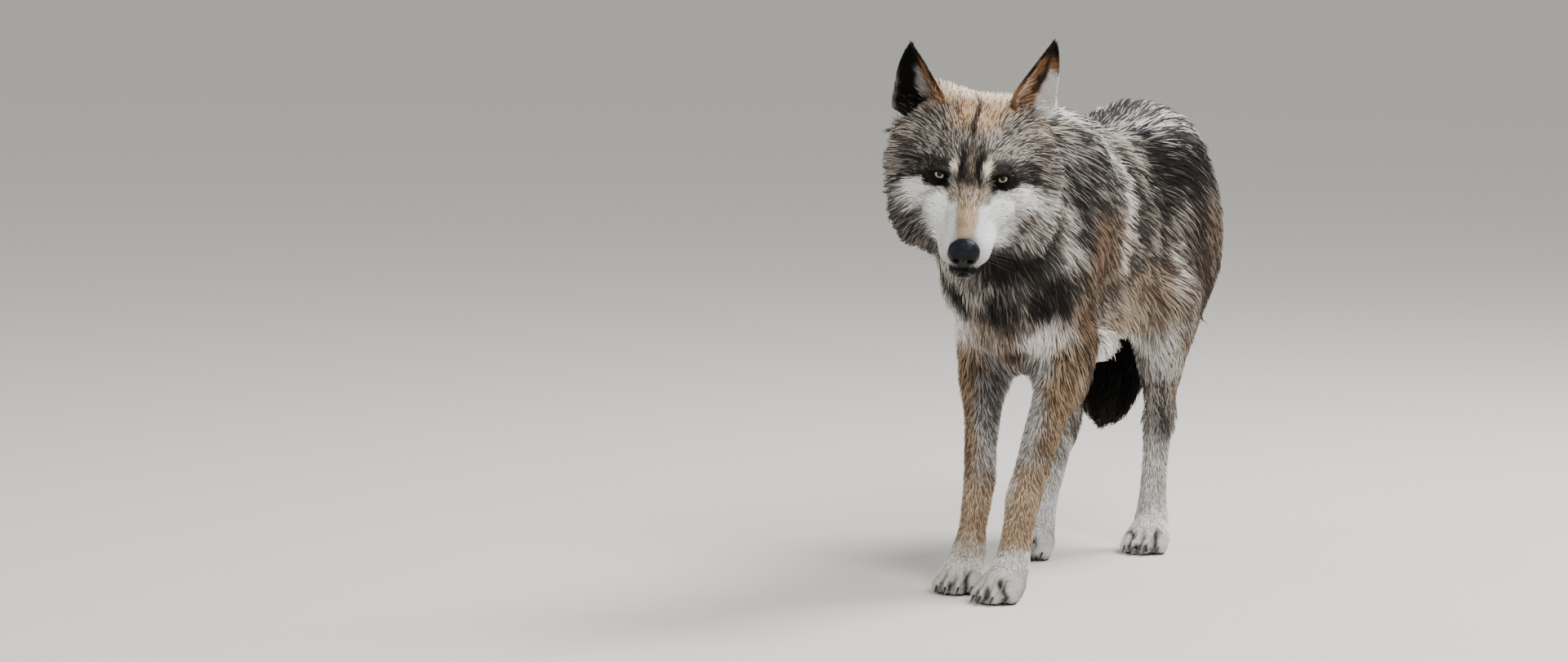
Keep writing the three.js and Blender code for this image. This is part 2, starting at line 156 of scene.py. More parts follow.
def editWhole(thing, operator, **settings):  # one edit mode operator on the whole mesh
    select(thing)
    bpy.ops.object.mode_set(mode="EDIT")
    bpy.ops.mesh.select_all(action="SELECT")
    operator(**settings)
    bpy.ops.object.mode_set(mode="OBJECT")


def readVertices(thing, name):
    flat = np.empty(len(thing.data.vertices) * 3)
    thing.data.vertices.foreach_get(name, flat)
    return flat.reshape(-1, 3)


def vertexArray(thing):
    return readVertices(thing, "co")


def vertexNormals(thing):
    return readVertices(thing, "normal")


def setVertices(thing, points):
    thing.data.vertices.foreach_set("co", np.ascontiguousarray(points, dtype=np.float32).ravel())
    thing.data.update()


def keepAbove(thing, height):  # nothing reaches into the floor
    points = vertexArray(thing)
    points[:, 2] = np.maximum(points[:, 2], height * mm)
    setVertices(thing, points)


def applyModifier(thing, kind, **settings):
    select(thing)
    modifier = thing.modifiers.new(kind.lower(), kind)
    for name, value in settings.items():
        setattr(modifier, name, value)
    bpy.ops.object.modifier_apply(modifier=modifier.name)


def applyPlace(thing):
    select(thing)
    bpy.ops.object.transform_apply(location=True, rotation=True, scale=True)
    return thing


def linked(name, data):
    thing = bpy.data.objects.new(name, data)
    bpy.context.collection.objects.link(thing)
    return thing


def ball(name, matrix, at, size, tilt=0, yaw=0, segments=32):
    bpy.ops.mesh.primitive_uv_sphere_add(segments=segments, ring_count=segments // 2, radius=1)
    thing = bpy.context.object
    thing.name = name
    turn = Matrix.Rotation(math.radians(yaw), 4, "Z") @ Matrix.Rotation(math.radians(tilt), 4, "X")
    thing.matrix_world = matrix @ Matrix.Translation(at) @ turn @ Matrix.Diagonal((*size, 1))
    return applyPlace(thing)


def forms(matrix, rows):  # swellings that melt into the skin: place, half-sizes and tilt
    return [ball("form", matrix, at, size, tilt) for at, size, tilt in rows]


def nodeCopies(*names):
    out = [linked(name + "Copy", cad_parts[name].data.copy()) for name in names]
    for thing in out:
        thing.data.materials.clear()
    return out


def joined(name, things):
    select(*things)
    bpy.ops.object.join()
    thing = bpy.context.object
    thing.name = name
    thing.data.name = name
    return thing


def smoothSkin(thing, voxel, rounds):
    applyModifier(thing, "REMESH", mode="VOXEL", voxel_size=voxel * mm, adaptivity=0)
    applyModifier(thing, "SMOOTH", factor=0.5, iterations=rounds)


def cut(thing, at, normal, clearOuter):  # a cut across the plan, with one side thrown away
    editWhole(
        thing, bpy.ops.mesh.bisect, plane_co=planMatrix @ Vector(at), plane_no=Vector(normal),
        use_fill=False, clear_outer=clearOuter, clear_inner=not clearOuter,
    )


# The camera stands 9 m off and looks a little down. Angles are in degrees, focal and frameWidth in pixels.
view = {
    "azimuth": 19, "elevation": 7.5, "distance": 9.0, "aimTurn": 21.8019, "aimDrop": 5.2465,
    "focal": 7290, "frameWidth": 1920, "sensor": 36, "farthest": 100,
}
azimuth, elevation = math.radians(view["azimuth"]), math.radians(view["elevation"])
towards = Vector((
    -math.sin(azimuth) * math.cos(elevation),
    math.cos(azimuth) * math.cos(elevation),
    -math.sin(elevation),
))
bpy.ops.object.camera_add()
camera = bpy.context.object
camera.location = poseShift * mm - towards * view["distance"]
camera.rotation_euler = (math.radians(90 - view["aimDrop"]), 0, math.radians(view["aimTurn"]))
camera.data.sensor_width = view["sensor"]
camera.data.lens = view["focal"] / view["frameWidth"] * view["sensor"]
camera.data.clip_end = view["farthest"]
bpy.context.scene.camera = camera

# The skin takes the solids' own outline, drawn in by the depth of the coat.
legNodes = ["leg_front_left", "leg_front_right", "leg_hind_left", "leg_hind_right"]
pawNodes = ["paw_front_left", "paw_front_right", "paw_hind_left", "paw_hind_right"]
fleshNodes = ["head", "muzzle", "ear_left", "ear_right", "neck", "trunk", "tail", *legNodes, *pawNodes]
skinPlan = {
    "bodyVoxel": 6.4, "headVoxel": 3.1, "pawVoxel": 2.6, "bodyRounds": 8, "headRounds": 13, "pawRounds": 8,
    "bodySettle": 5, "headSettle": 3, "pawSettle": 1,
    "ankle": 84, "ankleSpare": 30, "ankleLap": (-5, 6), "neckLap": 12,  # where the skins meet and overlap
    "toeGap": 7.5, "toeGapWidth": 2.8, "toeGapFrom": (1, 6), "floor": 0.4,
}
paws = {  # heel pad, turn and size of each paw, in plan millimetres and degrees
    "front_left": ((33, -388), -4, 1.0),
    "front_right": ((-61, -312), 6, 1.0),
    "hind_left": ((50, 224), 3, 0.96),
    "hind_right": ((-90, 90), 2, 0.96),
}
toePlan = {
    "across": (-26, -9.5, 9.5, 26), "reach": (46, 62, 62, 46), "segments": 20,
    "middle": 30, "near": 80, "top": 60,  # the paw's middle from its heel pad, and how far it reaches
    "gaps": (-18.2, 0, 18.2), "gapSpread": (20, 50), "gapClose": 0.86,  # they draw together towards the heel
    "innerGap": 9, "gapStart": (42, 30), "gapFade": 22,  # the inner gap starts further on than the outer two
    # spread, step back, height, half-sizes and tilt of the two swellings of each toe
    "forms": {"toe": (0.98, 2, 13.5, (10.5, 18, 13), -12), "knuckle": (0.86, 25, 26, (9.5, 18, 13), -22)},
}


def pawAxes(plan):  # distance to the nearest toe gap and how strong it is there, on the nearest paw
    across, reach, best = np.zeros(len(plan)), np.full(len(plan), -999.0), np.full(len(plan), 1e9)
    for (x, y), turn, _ in paws.values():
        a = math.radians(turn)
        dx, dy = plan[:, 0] - x, plan[:, 1] - y
        u, r = dx * math.cos(a) + dy * math.sin(a), dx * math.sin(a) - dy * math.cos(a)
        away = np.hypot(u, r - toePlan["middle"])
        nearer = away < best
        across, reach, best = np.where(nearer, u, across), np.where(nearer, r, reach), np.minimum(best, away)
    close = toePlan["gapClose"]
    spread = close + (1 - close) * ramp(reach, *toePlan["gapSpread"])
    gap = np.min([np.abs(across - g * spread) for g in toePlan["gaps"]], axis=0)
    start = np.where(np.abs(across) < toePlan["innerGap"], *toePlan["gapStart"])
    onThisPaw = (best < toePlan["near"]) * (plan[:, 2] < toePlan["top"])
    return gap, ramp(reach - start, 0, toePlan["gapFade"]) * onThisPaw


def onPaw(paw, across, reach, height):
    (x, y), turn, _ = paws[paw]
    a = math.radians(turn)
    c, s = math.cos(a), math.sin(a)
    return (x + across * c + reach * s, y + across * s - reach * c, height)


def pawForms():
    out = []
    for paw, (_, turn, scale) in paws.items():
        for across, reach in zip(toePlan["across"], toePlan["reach"]):
            for name, (spread, back, height, (wide, long, high), tilt) in toePlan["forms"].items():
                at = onPaw(paw, across * spread, reach - back, height)
                size = (wide * scale, long, high)
                out.append(ball(name, planMatrix, at, size, tilt, turn, toePlan["segments"]))
    return out


maneRows = [  # the mane under the ruff, in the skin of the head and of the body
    ((44, -334, 472), (46, 98, 46), -40), ((-44, -340, 482), (42, 94, 44), -40),
    ((-46, -316, 687), (54, 66, 30), -8),  # behind the right ear
]
brushRows = [  # the end of the tail, and the long hair behind the elbows
    ((-30, 336, 302), (50, 42, 72), 30), ((-46, 290, 238), (50, 40, 50), 30),
    ((72, -112, 348), (27, 96, 28), -4), ((-66, -112, 348), (27, 96, 28), -4),
]
headPairs = [  # the same masses as the solids have, and the small ones that they leave out
    ((22, -110, 37), (30, 36, 20), 0),  # brow
    ((46, -127, 39), (16, 9, 6), -35),  # ridge over the eye
    ((48, -92, -12), (36, 54, 38), 0),  # cheekbone
    ((44, -150, 2), (13, 16, 9), 0),  # under the eye
    ((19, -223, -35), (20, 34, 22), 8),  # whisker pad
    ((29, -184, -34), (16, 46, 23), 6),  # back of the lip
    ((40, -138, -22), (28, 46, 34), 0),  # between muzzle and cheek
    ((12, -160, 10), (14, 30, 12), 20),  # beside the stop
    ((8, -236, -66), (13, 18, 15), 0),  # chin
]
headRows = [
    ((0, -52, 20), (73, 77, 55), 0),  # cranium
    ((64, 10, 18), (33, 31, 31), 0), ((82, 8, 24), (33, 31, 31), 0),  # round the left ear
    ((-72, 10, 18), (33, 31, 31), 0), ((-94, -2, 9), (33, 31, 31), 0),  # round the right ear
    ((0, -190, -12), (24, 62, 23), 14),  # bridge
    ((0, -200, -62), (21, 48, 19), 8),  # jaw
    ((0, -232, -20), (22, 24, 22), 0),  # under the nose leather
]
neckCut = {"axis": unit(np.array([0.03, 0.83, -0.56])), "at": np.array([-4.0, -330.0, 600.0])}
nape = {"drop": 21, "middle": -364, "spread": 38, "from": 700, "to": 735}  # how it runs on into the neck

brushForms = forms(planMatrix, brushRows)
bodyNodes = [name for name in fleshNodes if not name.startswith("ear") and name != "muzzle"]
bodySkin = joined("bodySkin", nodeCopies(*bodyNodes) + brushForms + forms(planMatrix, maneRows))
smoothSkin(bodySkin, skinPlan["bodyVoxel"], skinPlan["bodyRounds"])
cut(bodySkin, neckCut["at"] - neckCut["axis"] * skinPlan["neckLap"], neckCut["axis"], False)
pawSkin = joined("pawSkin", nodeCopies(*legNodes, *pawNodes) + pawForms())
smoothSkin(pawSkin, skinPlan["pawVoxel"], skinPlan["pawRounds"])
cut(pawSkin, (0, 0, skinPlan["ankle"] + skinPlan["ankleSpare"]), (0, 0, 1), True)
headCopies = nodeCopies("head", "muzzle", "neck")
bothSides = [((side * x, y, z), size, tilt) for (x, y, z), size, tilt in headPairs for side in (1, -1)]
headForms = forms(headMatrix, bothSides + headRows)
headSkin = joined("headSkin", headCopies + headForms + forms(planMatrix, maneRows))
smoothSkin(headSkin, skinPlan["headVoxel"], skinPlan["headRounds"])
cut(headSkin, neckCut["at"], neckCut["axis"], True)
points = vertexArray(headSkin)
high = toPlan(points)
bell = np.exp(-((high[:, 1] - nape["middle"]) / nape["spread"]) ** 2)
points[:, 2] -= nape["drop"] * mm * bell * ramp(high[:, 2], nape["from"], nape["to"])
setVertices(headSkin, points)
print("wolf: skin forms joined", [len(thing.data.polygons) for thing in (bodySkin, headSkin, pawSkin)])

# How deep, long, wide and close the hair is over the body. Each row: place, half-sizes, then depth, length
# and width in mm and tufts to the square centimetre. Rows with an h are in the head's own frame, the others
# in the plan's, both with the right side laid over the left.
coatPlan = [
    ("back", (0, 60, 690), (90, 330, 90), 20, 60, 2.2, 5.2),
    ("withers", (0, -200, 680), (80, 110, 80), 22, 66, 2.3, 5.4),
    ("shoulder", (100, -220, 520), (60, 100, 110), 17, 54, 2.2, 5.4),
    ("flank", (110, 20, 520), (60, 200, 110), 15, 48, 2.2, 4.8),
    ("belly", (0, 0, 350), (90, 200, 60), 15, 46, 2.1, 4.6),
    ("rump", (60, 280, 620), (90, 110, 90), 17, 52, 2.2, 5.0),
    ("thigh", (120, 230, 470), (70, 110, 110), 12, 36, 1.9, 6.0),
    ("lowerThigh", (80, 210, 300), (60, 80, 70), 8, 24, 1.7, 7.5),
    ("neck", (60, -330, 600), (80, 80, 90), 20, 60, 2.3, 5.8),
    ("throat", (0, -340, 480), (100, 70, 70), 18, 50, 2.0, 7.2),
    ("chest", (0, -300, 400), (90, 70, 80), 16, 46, 1.9, 6.8),
    ("upperArm", (90, -240, 390), (50, 60, 60), 11, 34, 1.8, 6.4),
    ("foreleg", (50, -290, 240), (50, 80, 90), 4.2, 16, 1.25, 12),
    ("shin", (50, 230, 150), (60, 80, 70), 3.8, 14.5, 1.25, 12.5),
    ("pasternFront", (50, -340, 90), (60, 80, 50), 2.8, 11, 1.05, 19),
    ("pasternHind", (60, 180, 80), (60, 100, 50), 2.8, 11, 1.05, 19),
    ("pawFront", (50, -400, 20), (60, 80, 30), 1.8, 8.0, 0.88, 42),
    ("pawHind", (60, 130, 20), (60, 110, 30), 1.8, 8.0, 0.88, 42),
    ("tailTop", (0, 370, 560), (60, 50, 90), 20, 56, 2.4, 4.8),
    ("tailEnd", (26, 330, 300), (70, 90, 130), 22, 62, 2.5, 4.8),
    ("h ruff", (105, -30, -30), (40, 40, 70), 17, 46, 1.6, 10.5),
    ("h lowerRuff", (80, -30, -110), (60, 50, 50), 15, 38, 1.6, 12),
    ("h nape", (0, 50, 60), (80, 40, 40), 9, 22, 1.45, 13),
    ("h earRoot", (76, 14, 40), (20, 24, 24), 6.5, 18, 1.15, 15),
    ("h crown", (0, -10, 76), (60, 30, 24), 5.5, 16, 1.1, 18),
    ("h forehead", (0, -80, 66), (46, 34, 20), 4.2, 12, 1.0, 20),
    ("h brow", (34, -128, 46), (26, 20, 14), 3, 9.5, 0.85, 40),
    ("h temple", (66, -80, 40), (20, 30, 26), 6, 17, 1.15, 16),
    ("h cheek", (66, -104, -26), (26, 30, 34), 5.5, 17, 1.05, 19),
    ("h jaw", (40, -110, -84), (40, 40, 26), 7, 22, 1.3, 13),
    ("h underEye", (46, -146, -6), (22, 12, 14), 1.9, 7.5, 0.72, 62),
    ("h stop", (0, -150, 20), (18, 20, 14), 2.0, 7.5, 0.72, 62),
    ("h muzzle", (0, -200, -16), (30, 40, 26), 1.5, 6.6, 0.64, 78),
    ("h lip", (24, -215, -44), (14, 40, 14), 1.7, 7, 0.66, 70),
    ("h chin", (0, -205, -80), (24, 36, 14), 2.4, 8, 0.75, 55),
    ("h noseEnd", (0, -246, -20), (30, 14, 26), 0.8, 4.6, 0.55, 84),
]
coatBlend = {"core": 0.08, "sharpness": 4, "headReach": 1.1}


def coatAt(plan):  # depth, length, width and closeness, blended from the nearest rows
    head, body = folded(toHead(plan)), foldedBody(plan)
    total = np.full(len(plan), 1e-9)
    out = np.zeros((len(plan), 4))
    for name, at, size, *values in coatPlan:
        onHead = name.startswith("h ")
        points, reach = (head, np.array(size) * coatBlend["headReach"]) if onHead else (body, size)
        weight = 1 / (coatBlend["core"] + farFrom(points, at, reach) ** coatBlend["sharpness"])
        total += weight
        out += weight[:, None] * np.array(values)
    return out / total[:, None]


# The ears are cupped leaves.
earPlan = {
    "left": {"side": 1, "root": (73, 6, 54), "lean": 19, "backward": 21, "turnOut": 45},
    "right": {"side": -1, "root": (82, 4, 42), "lean": 12, "backward": 3, "turnOut": 20},
    "height": 106, "base": 84, "cup": 24, "wall": 3.4, "rim": 0.9, "curl": 4.5, "lean": 3, "sunk": 0.24,
    "rows": 34, "columns": 20,
    "tip": 0.985, "tipCurve": 1.5, "bow": 0.8,  # how far, how late and how roundly the sides draw in
    "rootWidth": 0.2, "rootTo": 0.15, "wave": 0.03, "waveRate": 9, "end": 0.995,
    "cupFade": 0.75, "curlFrom": 0.55,
}


def earMatrix(name):
    ear = earPlan[name]
    side = ear["side"]
    x, y, z = ear["root"]
    return (
        headMatrix
        @ Matrix.Translation((side * x, y, z))
        @ Matrix.Rotation(math.radians(-ear["backward"]), 4, "X")
        @ Matrix.Rotation(math.radians(side * ear["lean"]), 4, "Y")
        @ Matrix.Rotation(math.radians(side * ear["turnOut"]), 4, "Z")
    )


def earHalf(up):  # half the ear's width, from 0 at the root to 1 at the tip
    drawnIn = np.maximum(1 - earPlan["tip"] * up ** earPlan["tipCurve"], 0.01)
    return earPlan["base"] / 2 * drawnIn ** earPlan["bow"]


def earSurface(u, v, side):  # u from root to tip, v from -1 to 1 across, in the ear's own frame
    up = np.maximum(u, 0)
    narrow, lean = earPlan["rootWidth"], earPlan["lean"]
    half = earHalf(up) * (1 + earPlan["wave"] * np.sin(up * earPlan["waveRate"] + v))
    half = half * (narrow + (1 - narrow) * ramp(u, -earPlan["sunk"], earPlan["rootTo"]))
    hollow = earPlan["cup"] * (1 - earPlan["cupFade"] * up) * (1 - v * v)
    fold = earPlan["curl"] * ramp(v, earPlan["curlFrom"], 1.0) * (1 - up)  # the outer edge curls forward
    forward = hollow - fold + lean * up ** 2
    return np.stack([side * half * v, forward, earPlan["height"] * u - lean * v * v * up], -1)


def makeEar(name):
    side, sunk = earPlan[name]["side"], earPlan["sunk"]
    bpy.ops.mesh.primitive_grid_add(x_subdivisions=earPlan["columns"], y_subdivisions=earPlan["rows"], size=2)
    ear = bpy.context.object
    ear.name = "ear" + name.capitalize()
    flat = vertexArray(ear)
    u = (flat[:, 1] + 1) / 2 * (1 + sunk) - sunk
    setVertices(ear, earSurface(np.minimum(u, earPlan["end"]), flat[:, 0], side))
    applyModifier(ear, "SOLIDIFY", thickness=earPlan["wall"], offset=0)
    applyModifier(ear, "BEVEL", width=earPlan["rim"], segments=2, limit_method="ANGLE")
    ear.matrix_world = earMatrix(name)
    applyPlace(ear)
    if side < 0:
        editWhole(ear, bpy.ops.mesh.normals_make_consistent, inside=False)
    return ear


ears = {name: makeEar(name) for name in ("left", "right")}


def drawIn(thing):  # sinks the skin below the outline by the depth of its coat
    points = vertexArray(thing)
    plan = toPlan(points)
    depth = coatAt(plan)[:, 0]
    if thing is pawSkin:
        gap, toes = pawAxes(plan)
        groove = skinPlan["toeGap"] * np.exp(-(gap / skinPlan["toeGapWidth"]) ** 2)
        depth = depth + groove * toes * ramp(plan[:, 2], *skinPlan["toeGapFrom"])
    points = points - vertexNormals(thing) * depth[:, None] * mm
    points[:, 2] = np.maximum(points[:, 2], skinPlan["floor"] * mm)
    setVertices(thing, points)


for thing, rounds in ((bodySkin, "bodySettle"), (headSkin, "headSettle"), (pawSkin, "pawSettle")):
    drawIn(thing)
    applyModifier(thing, "SMOOTH", factor=0.5, iterations=skinPlan[rounds])
below, above = skinPlan["ankleLap"]
cut(bodySkin, (0, 0, skinPlan["ankle"] + below), (0, 0, 1), False)
cut(pawSkin, (0, 0, skinPlan["ankle"] + above), (0, 0, 1), True)
print("wolf: skin drawn in under the coat")

# The lids are a ring of skin from the almond opening out to the face. Angles are seen from the eye's centre.
lidPlan = {
    "halfWidth": 43, "upper": 11.5, "lower": 23, "slant": 15, "reach": (22, 18), "rings": 14, "around": 64,
    "gap": 0.5, "clear": 0.9,  # from the eyeball to the edge of the lid, and to the lid behind its edge
    "rim": 1.5, "rimRate": 3.4, "fold": 0.7, "foldRate": 19, "foldFrom": 0.2,
    "tearDrop": 5, "tearWider": 1.1, "outerWider": 0.97,  # the tear corner hangs lower and reaches further
    "faceUp": (0, 0.57, 0.82), "sunk": 0.2,
    "start": 0.08,  # metres in front of the eye, where the search for the skin starts
    "roundness": 1.15, "tearSharpness": 6, "spare": 0.4,
    "missed": 2,  # how far out the ring ends where the search finds no skin
    "socket": 0.93, "socketBack": -12, "socketFloor": 3.0,
}


def eyeFrame(side):  # across, up and towards the viewer at one eye, in metres
    at = headMatrix @ Vector((side * eyePlan["place"][0], *eyePlan["place"][1:]))
    gaze = (camera.location - at).normalized()
    up = (headMatrix.to_3x3() @ Vector(lidPlan["faceUp"])).normalized()
    across = up.cross(gaze).normalized()
    up = gaze.cross(across).normalized()
    turn = Matrix.Rotation(math.radians(side * lidPlan["slant"]), 3, gaze)
    return at, turn @ across, turn @ up, gaze


def eyeAxes(points, side):  # millimetres across, up and out at one eye, then the three directions
    at, *axes = (np.array(v) for v in eyeFrame(side))
    local = (points - at) / mm
    return *(local @ axis for axis in axes), *axes


def lidEdge(c, s, side, radius):  # a point on the almond opening, c across and s up, on a ball round the eye
    tall = lidPlan["upper"] if s > 0 else lidPlan["lower"]
    lean = c * side  # 1 at the outer corner, -1 at the inner
    a = math.radians(lidPlan["halfWidth"] * c * lidPlan["tearWider" if lean < 0 else "outerWider"])
    drop = lidPlan["tearDrop"] * max(0, -lean) ** lidPlan["tearSharpness"]
    b = math.radians(tall * abs(s) ** lidPlan["roundness"] * (1 if s > 0 else -1) - drop)
    return np.array([math.sin(a) * math.cos(b), math.sin(b), math.cos(a) * math.cos(b)]) * radius


def makeLid(side):
    at, across, up, gaze = eyeFrame(side)
    tree = BVHTree.FromObject(headSkin, bpy.context.evaluated_depsgraph_get())
    radius = eyePlan["radius"] + lidPlan["gap"]
    rings, around = lidPlan["rings"], lidPlan["around"]
    points, faces = [], []
    for j in range(around):
        t = 2 * math.pi * j / around
        c, s = math.cos(t), math.sin(t)
        inner = lidEdge(c, s, side, radius)
        outer = np.array([c * lidPlan["reach"][0], s * lidPlan["reach"][1], 0])
        start = at + (across * outer[0] + up * outer[1]) * mm + gaze * lidPlan["start"]
        hit = tree.ray_cast(start, -gaze)[0]
        outer[2] = (hit - at).dot(gaze) / mm - lidPlan["sunk"] if hit else lidPlan["missed"]
        for i in range(rings + 1):
            k = i / rings
            place = inner + (outer - inner) * k
            ease = k * k * (3 - 2 * k)
            place[2] = inner[2] + (outer[2] - inner[2]) * ease
            if i:
                rim = lidPlan["rim"] * math.sin(math.pi * min(k * lidPlan["rimRate"], 1))
                crease = math.sin(k * lidPlan["foldRate"]) if s > lidPlan["foldFrom"] else 0
                place[2] += rim + lidPlan["fold"] * crease * (1 - k)
            else:
                place[2] -= lidPlan["clear"]
            off = math.hypot(place[0], place[1])
            if i and off < radius + lidPlan["spare"]:  # stays clear of the eyeball
                place[2] = max(place[2], math.sqrt((radius + lidPlan["clear"]) ** 2 - off ** 2))
            points.append(at + (across * place[0] + up * place[1] + gaze * place[2]) * mm)
    for j in range(around):
        this, following = j * (rings + 1), (j + 1) % around * (rings + 1)
        faces += [(this + i, this + i + 1, following + i + 1, following + i) for i in range(rings)]
    mesh = bpy.data.meshes.new("lid")
    mesh.from_pydata(points, [], faces)
    return linked("lid", mesh)


def openSocket(side):  # the skin behind a lid goes back out of its way
    points = vertexArray(headSkin)
    x, y, z, _, _, gaze = eyeAxes(points, side)
    reach = np.hypot(x / lidPlan["reach"][0], y / lidPlan["reach"][1])
    inside = (reach < lidPlan["socket"]) & (z > lidPlan["socketBack"])
    low = np.minimum(z, lidPlan["socketFloor"] - (1 - reach))
    points[inside] += (gaze * (low - z)[:, None] * mm)[inside]
    setVertices(headSkin, points)


unwrap = {"angle_limit": math.radians(70), "island_margin": 0.002}
lids = [makeLid(1), makeLid(-1)]
openSocket(1)
openSocket(-1)
headSkin = joined("headSkin", [*lids, headSkin])
for thing in (bodySkin, headSkin, pawSkin, *ears.values()):
    editWhole(thing, bpy.ops.uv.smart_project, **unwrap)
    thing.data.uv_layers.active.name = "OFBake"
    bpy.ops.object.shade_smooth()
print("wolf: lids made and skin unwrapped")

# The lie of the hair: place, direction and how far each guide is heard, in mm.
# head is in the head's frame and body in the plan's, both with the right side laid over the left.
lieOfCoat = {
    "head": [
        ((0, -246, -4), (0, 1, 0.1), 26), ((0, -200, 8), (0, 1, 0.2), 26),
        ((24, -212, -24), (0.15, 1, -0.15), 24), ((22, -228, -46), (0.25, 1, -0.3), 22),
        ((0, -150, 24), (0, 0.8, 0.6), 24), ((0, -104, 62), (0, 1, 0.4), 34),
        ((0, -30, 78), (0.05, 1, 0), 40), ((36, -126, 46), (0.55, 0.6, 0.5), 24),
        ((64, -92, 44), (0.75, 0.6, 0.15), 28), ((40, -152, -8), (0.6, 0.75, -0.3), 22),
        ((36, -160, -40), (0.6, 0.75, -0.3), 26), ((72, -106, -14), (0.75, 0.6, -0.3), 32),
        ((104, -52, -6), (0.7, 0.55, -0.45), 36), ((118, -24, -34), (0.55, 0.5, -0.65), 40),
        ((96, -34, -100), (0.3, 0.65, -0.75), 44), ((50, -70, -124), (0.2, 0.9, -0.55), 40),
        ((50, -110, -80), (0.45, 0.7, -0.55), 32), ((26, -160, -88), (0.2, 0.9, -0.35), 30),
        ((0, -230, -84), (0, 0.95, -0.2), 24), ((0, -80, -140), (0, 0.95, -0.5), 44),
        ((0, 46, 56), (0, 0.82, -0.5), 40), ((66, 34, 30), (0.2, 0.62, -0.75), 40),
    ],
    "body": [
        ((80, -330, 620), (0.3, 0.7, -0.65), 70), ((0, -400, 520), (0, 0.6, -0.85), 60),
        ((60, -390, 500), (0.2, 0.6, -0.8), 60), ((0, -350, 420), (0, 0.4, -0.95), 60),
        ((0, -270, 340), (0, 0.6, -0.75), 60), ((0, -260, 720), (0, 1, -0.05), 80),
        ((0, -160, 750), (0, 1, -0.02), 80), ((70, -200, 690), (0.25, 0.85, -0.45), 70),
        ((110, -230, 560), (0.1, 0.7, -0.7), 80), ((100, -250, 440), (0.05, 0.5, -0.85), 70),
        ((60, -250, 340), (0, 0.2, -1), 60), ((0, 40, 740), (0, 1, 0), 110),
        ((90, 0, 660), (0.15, 0.9, -0.4), 90), ((120, 0, 560), (0, 0.85, -0.5), 100),
        ((105, 60, 440), (0, 0.8, -0.6), 90), ((0, 0, 360), (0, 0.9, -0.4), 100),
        ((74, -116, 318), (0, 0.75, -0.65), 42), ((0, 250, 740), (0, 1, -0.1), 80),
        ((80, 260, 680), (0.2, 0.8, -0.55), 70), ((115, 240, 570), (0.05, 0.6, -0.8), 80),
        ((110, 200, 450), (0, 0.4, -0.9), 80), ((60, 330, 480), (0, 0.1, -1), 70),
        ((80, 220, 300), (0, 0.35, -0.95), 60), ((60, 230, 180), (0, 0.1, -1), 60),
        ((60, 190, 80), (0, -0.2, -1), 50), ((60, 130, 24), (0, -0.9, -0.45), 40),
        ((45, -330, 220), (0, 0.1, -1), 70), ((45, -350, 100), (0, -0.1, -1), 50),
        ((50, -400, 26), (0, -0.9, -0.45), 44),
    ],
    "tail": [
        ((0, 340, 600), (0, 0.6, -0.8), 46), ((-4, 384, 540), (0, 0.2, -1), 46),
        ((-14, 386, 440), (-0.05, -0.15, -1), 56), ((-28, 350, 330), (-0.12, -0.4, -0.9), 60),
        ((-40, 290, 240), (-0.1, -0.5, -0.85), 50),
    ],
}
tailLine = np.array([
    (0, 330, 612), (-2, 376, 545), (-10, 388, 440), (-26, 352, 330), (-40, 300, 248), (-46, 256, 190),
], dtype=float)
tailReach = (62, 76)  # all tail within the first distance from its line, none beyond the second
lieBlend = {"core": 0.1, "lidReach": (24, 19), "lidFade": (0.62, 1.05), "lidShare": 0.92, "lidBack": -12}


def tailShare(plan):  # 1 on the tail, 0 off it
    best = np.full(len(plan), 1e9)
    for a, b in zip(tailLine[:-1], tailLine[1:]):
        t = np.clip((plan - a) @ (b - a) / ((b - a) @ (b - a)), 0, 1)
        best = np.minimum(best, np.linalg.norm(plan - a - t[:, None] * (b - a), axis=1))
    return 1 - ramp(best, *tailReach)


def lieAt(plan):
    head, onTail = toHead(plan), tailShare(plan)
    ones = np.ones(len(plan))
    turn = np.array(headTurn.to_3x3())
    # where each kind of guide is measured, which side it leans to, its frame and its share
    kinds = {
        "head": (folded(head), np.sign(head[:, 0]), turn, ones),
        "body": (foldedBody(plan), np.sign(plan[:, 0] - sway(plan[:, 1])), None, 1 - onTail),
        "tail": (plan, ones, None, onTail),
    }
    total = np.zeros((len(plan), 3))
    for kind, (where, side, frameTurn, share) in kinds.items():
        for at, direction, heard in lieOfCoat[kind]:
            d = farFrom(where, at) / heard
            way = np.tile(unit(np.array(direction, dtype=float)), (len(plan), 1))
            way[:, 0] *= side
            if frameTurn is not None:
                way = way @ frameTurn.T
            total += (share / (lieBlend["core"] + d * d) ** 2)[:, None] * way
    return unit(total)


def lieNearEyes(points):  # round the eyes the hair spreads from the lids
    way = lieAt(toPlan(points))
    wide, high = lieBlend["lidReach"]
    for side in (1, -1):
        x, y, z, across, up, _ = eyeAxes(points, side)
        spread = unit(across * x[:, None] + up * y[:, None])
        share = lieBlend["lidShare"] * (1 - ramp(np.hypot(x / wide, y / high), *lieBlend["lidFade"]))
        share = share * (z > lieBlend["lidBack"])
        way = way * (1 - share[:, None]) + spread * share[:, None]
    return unit(way)


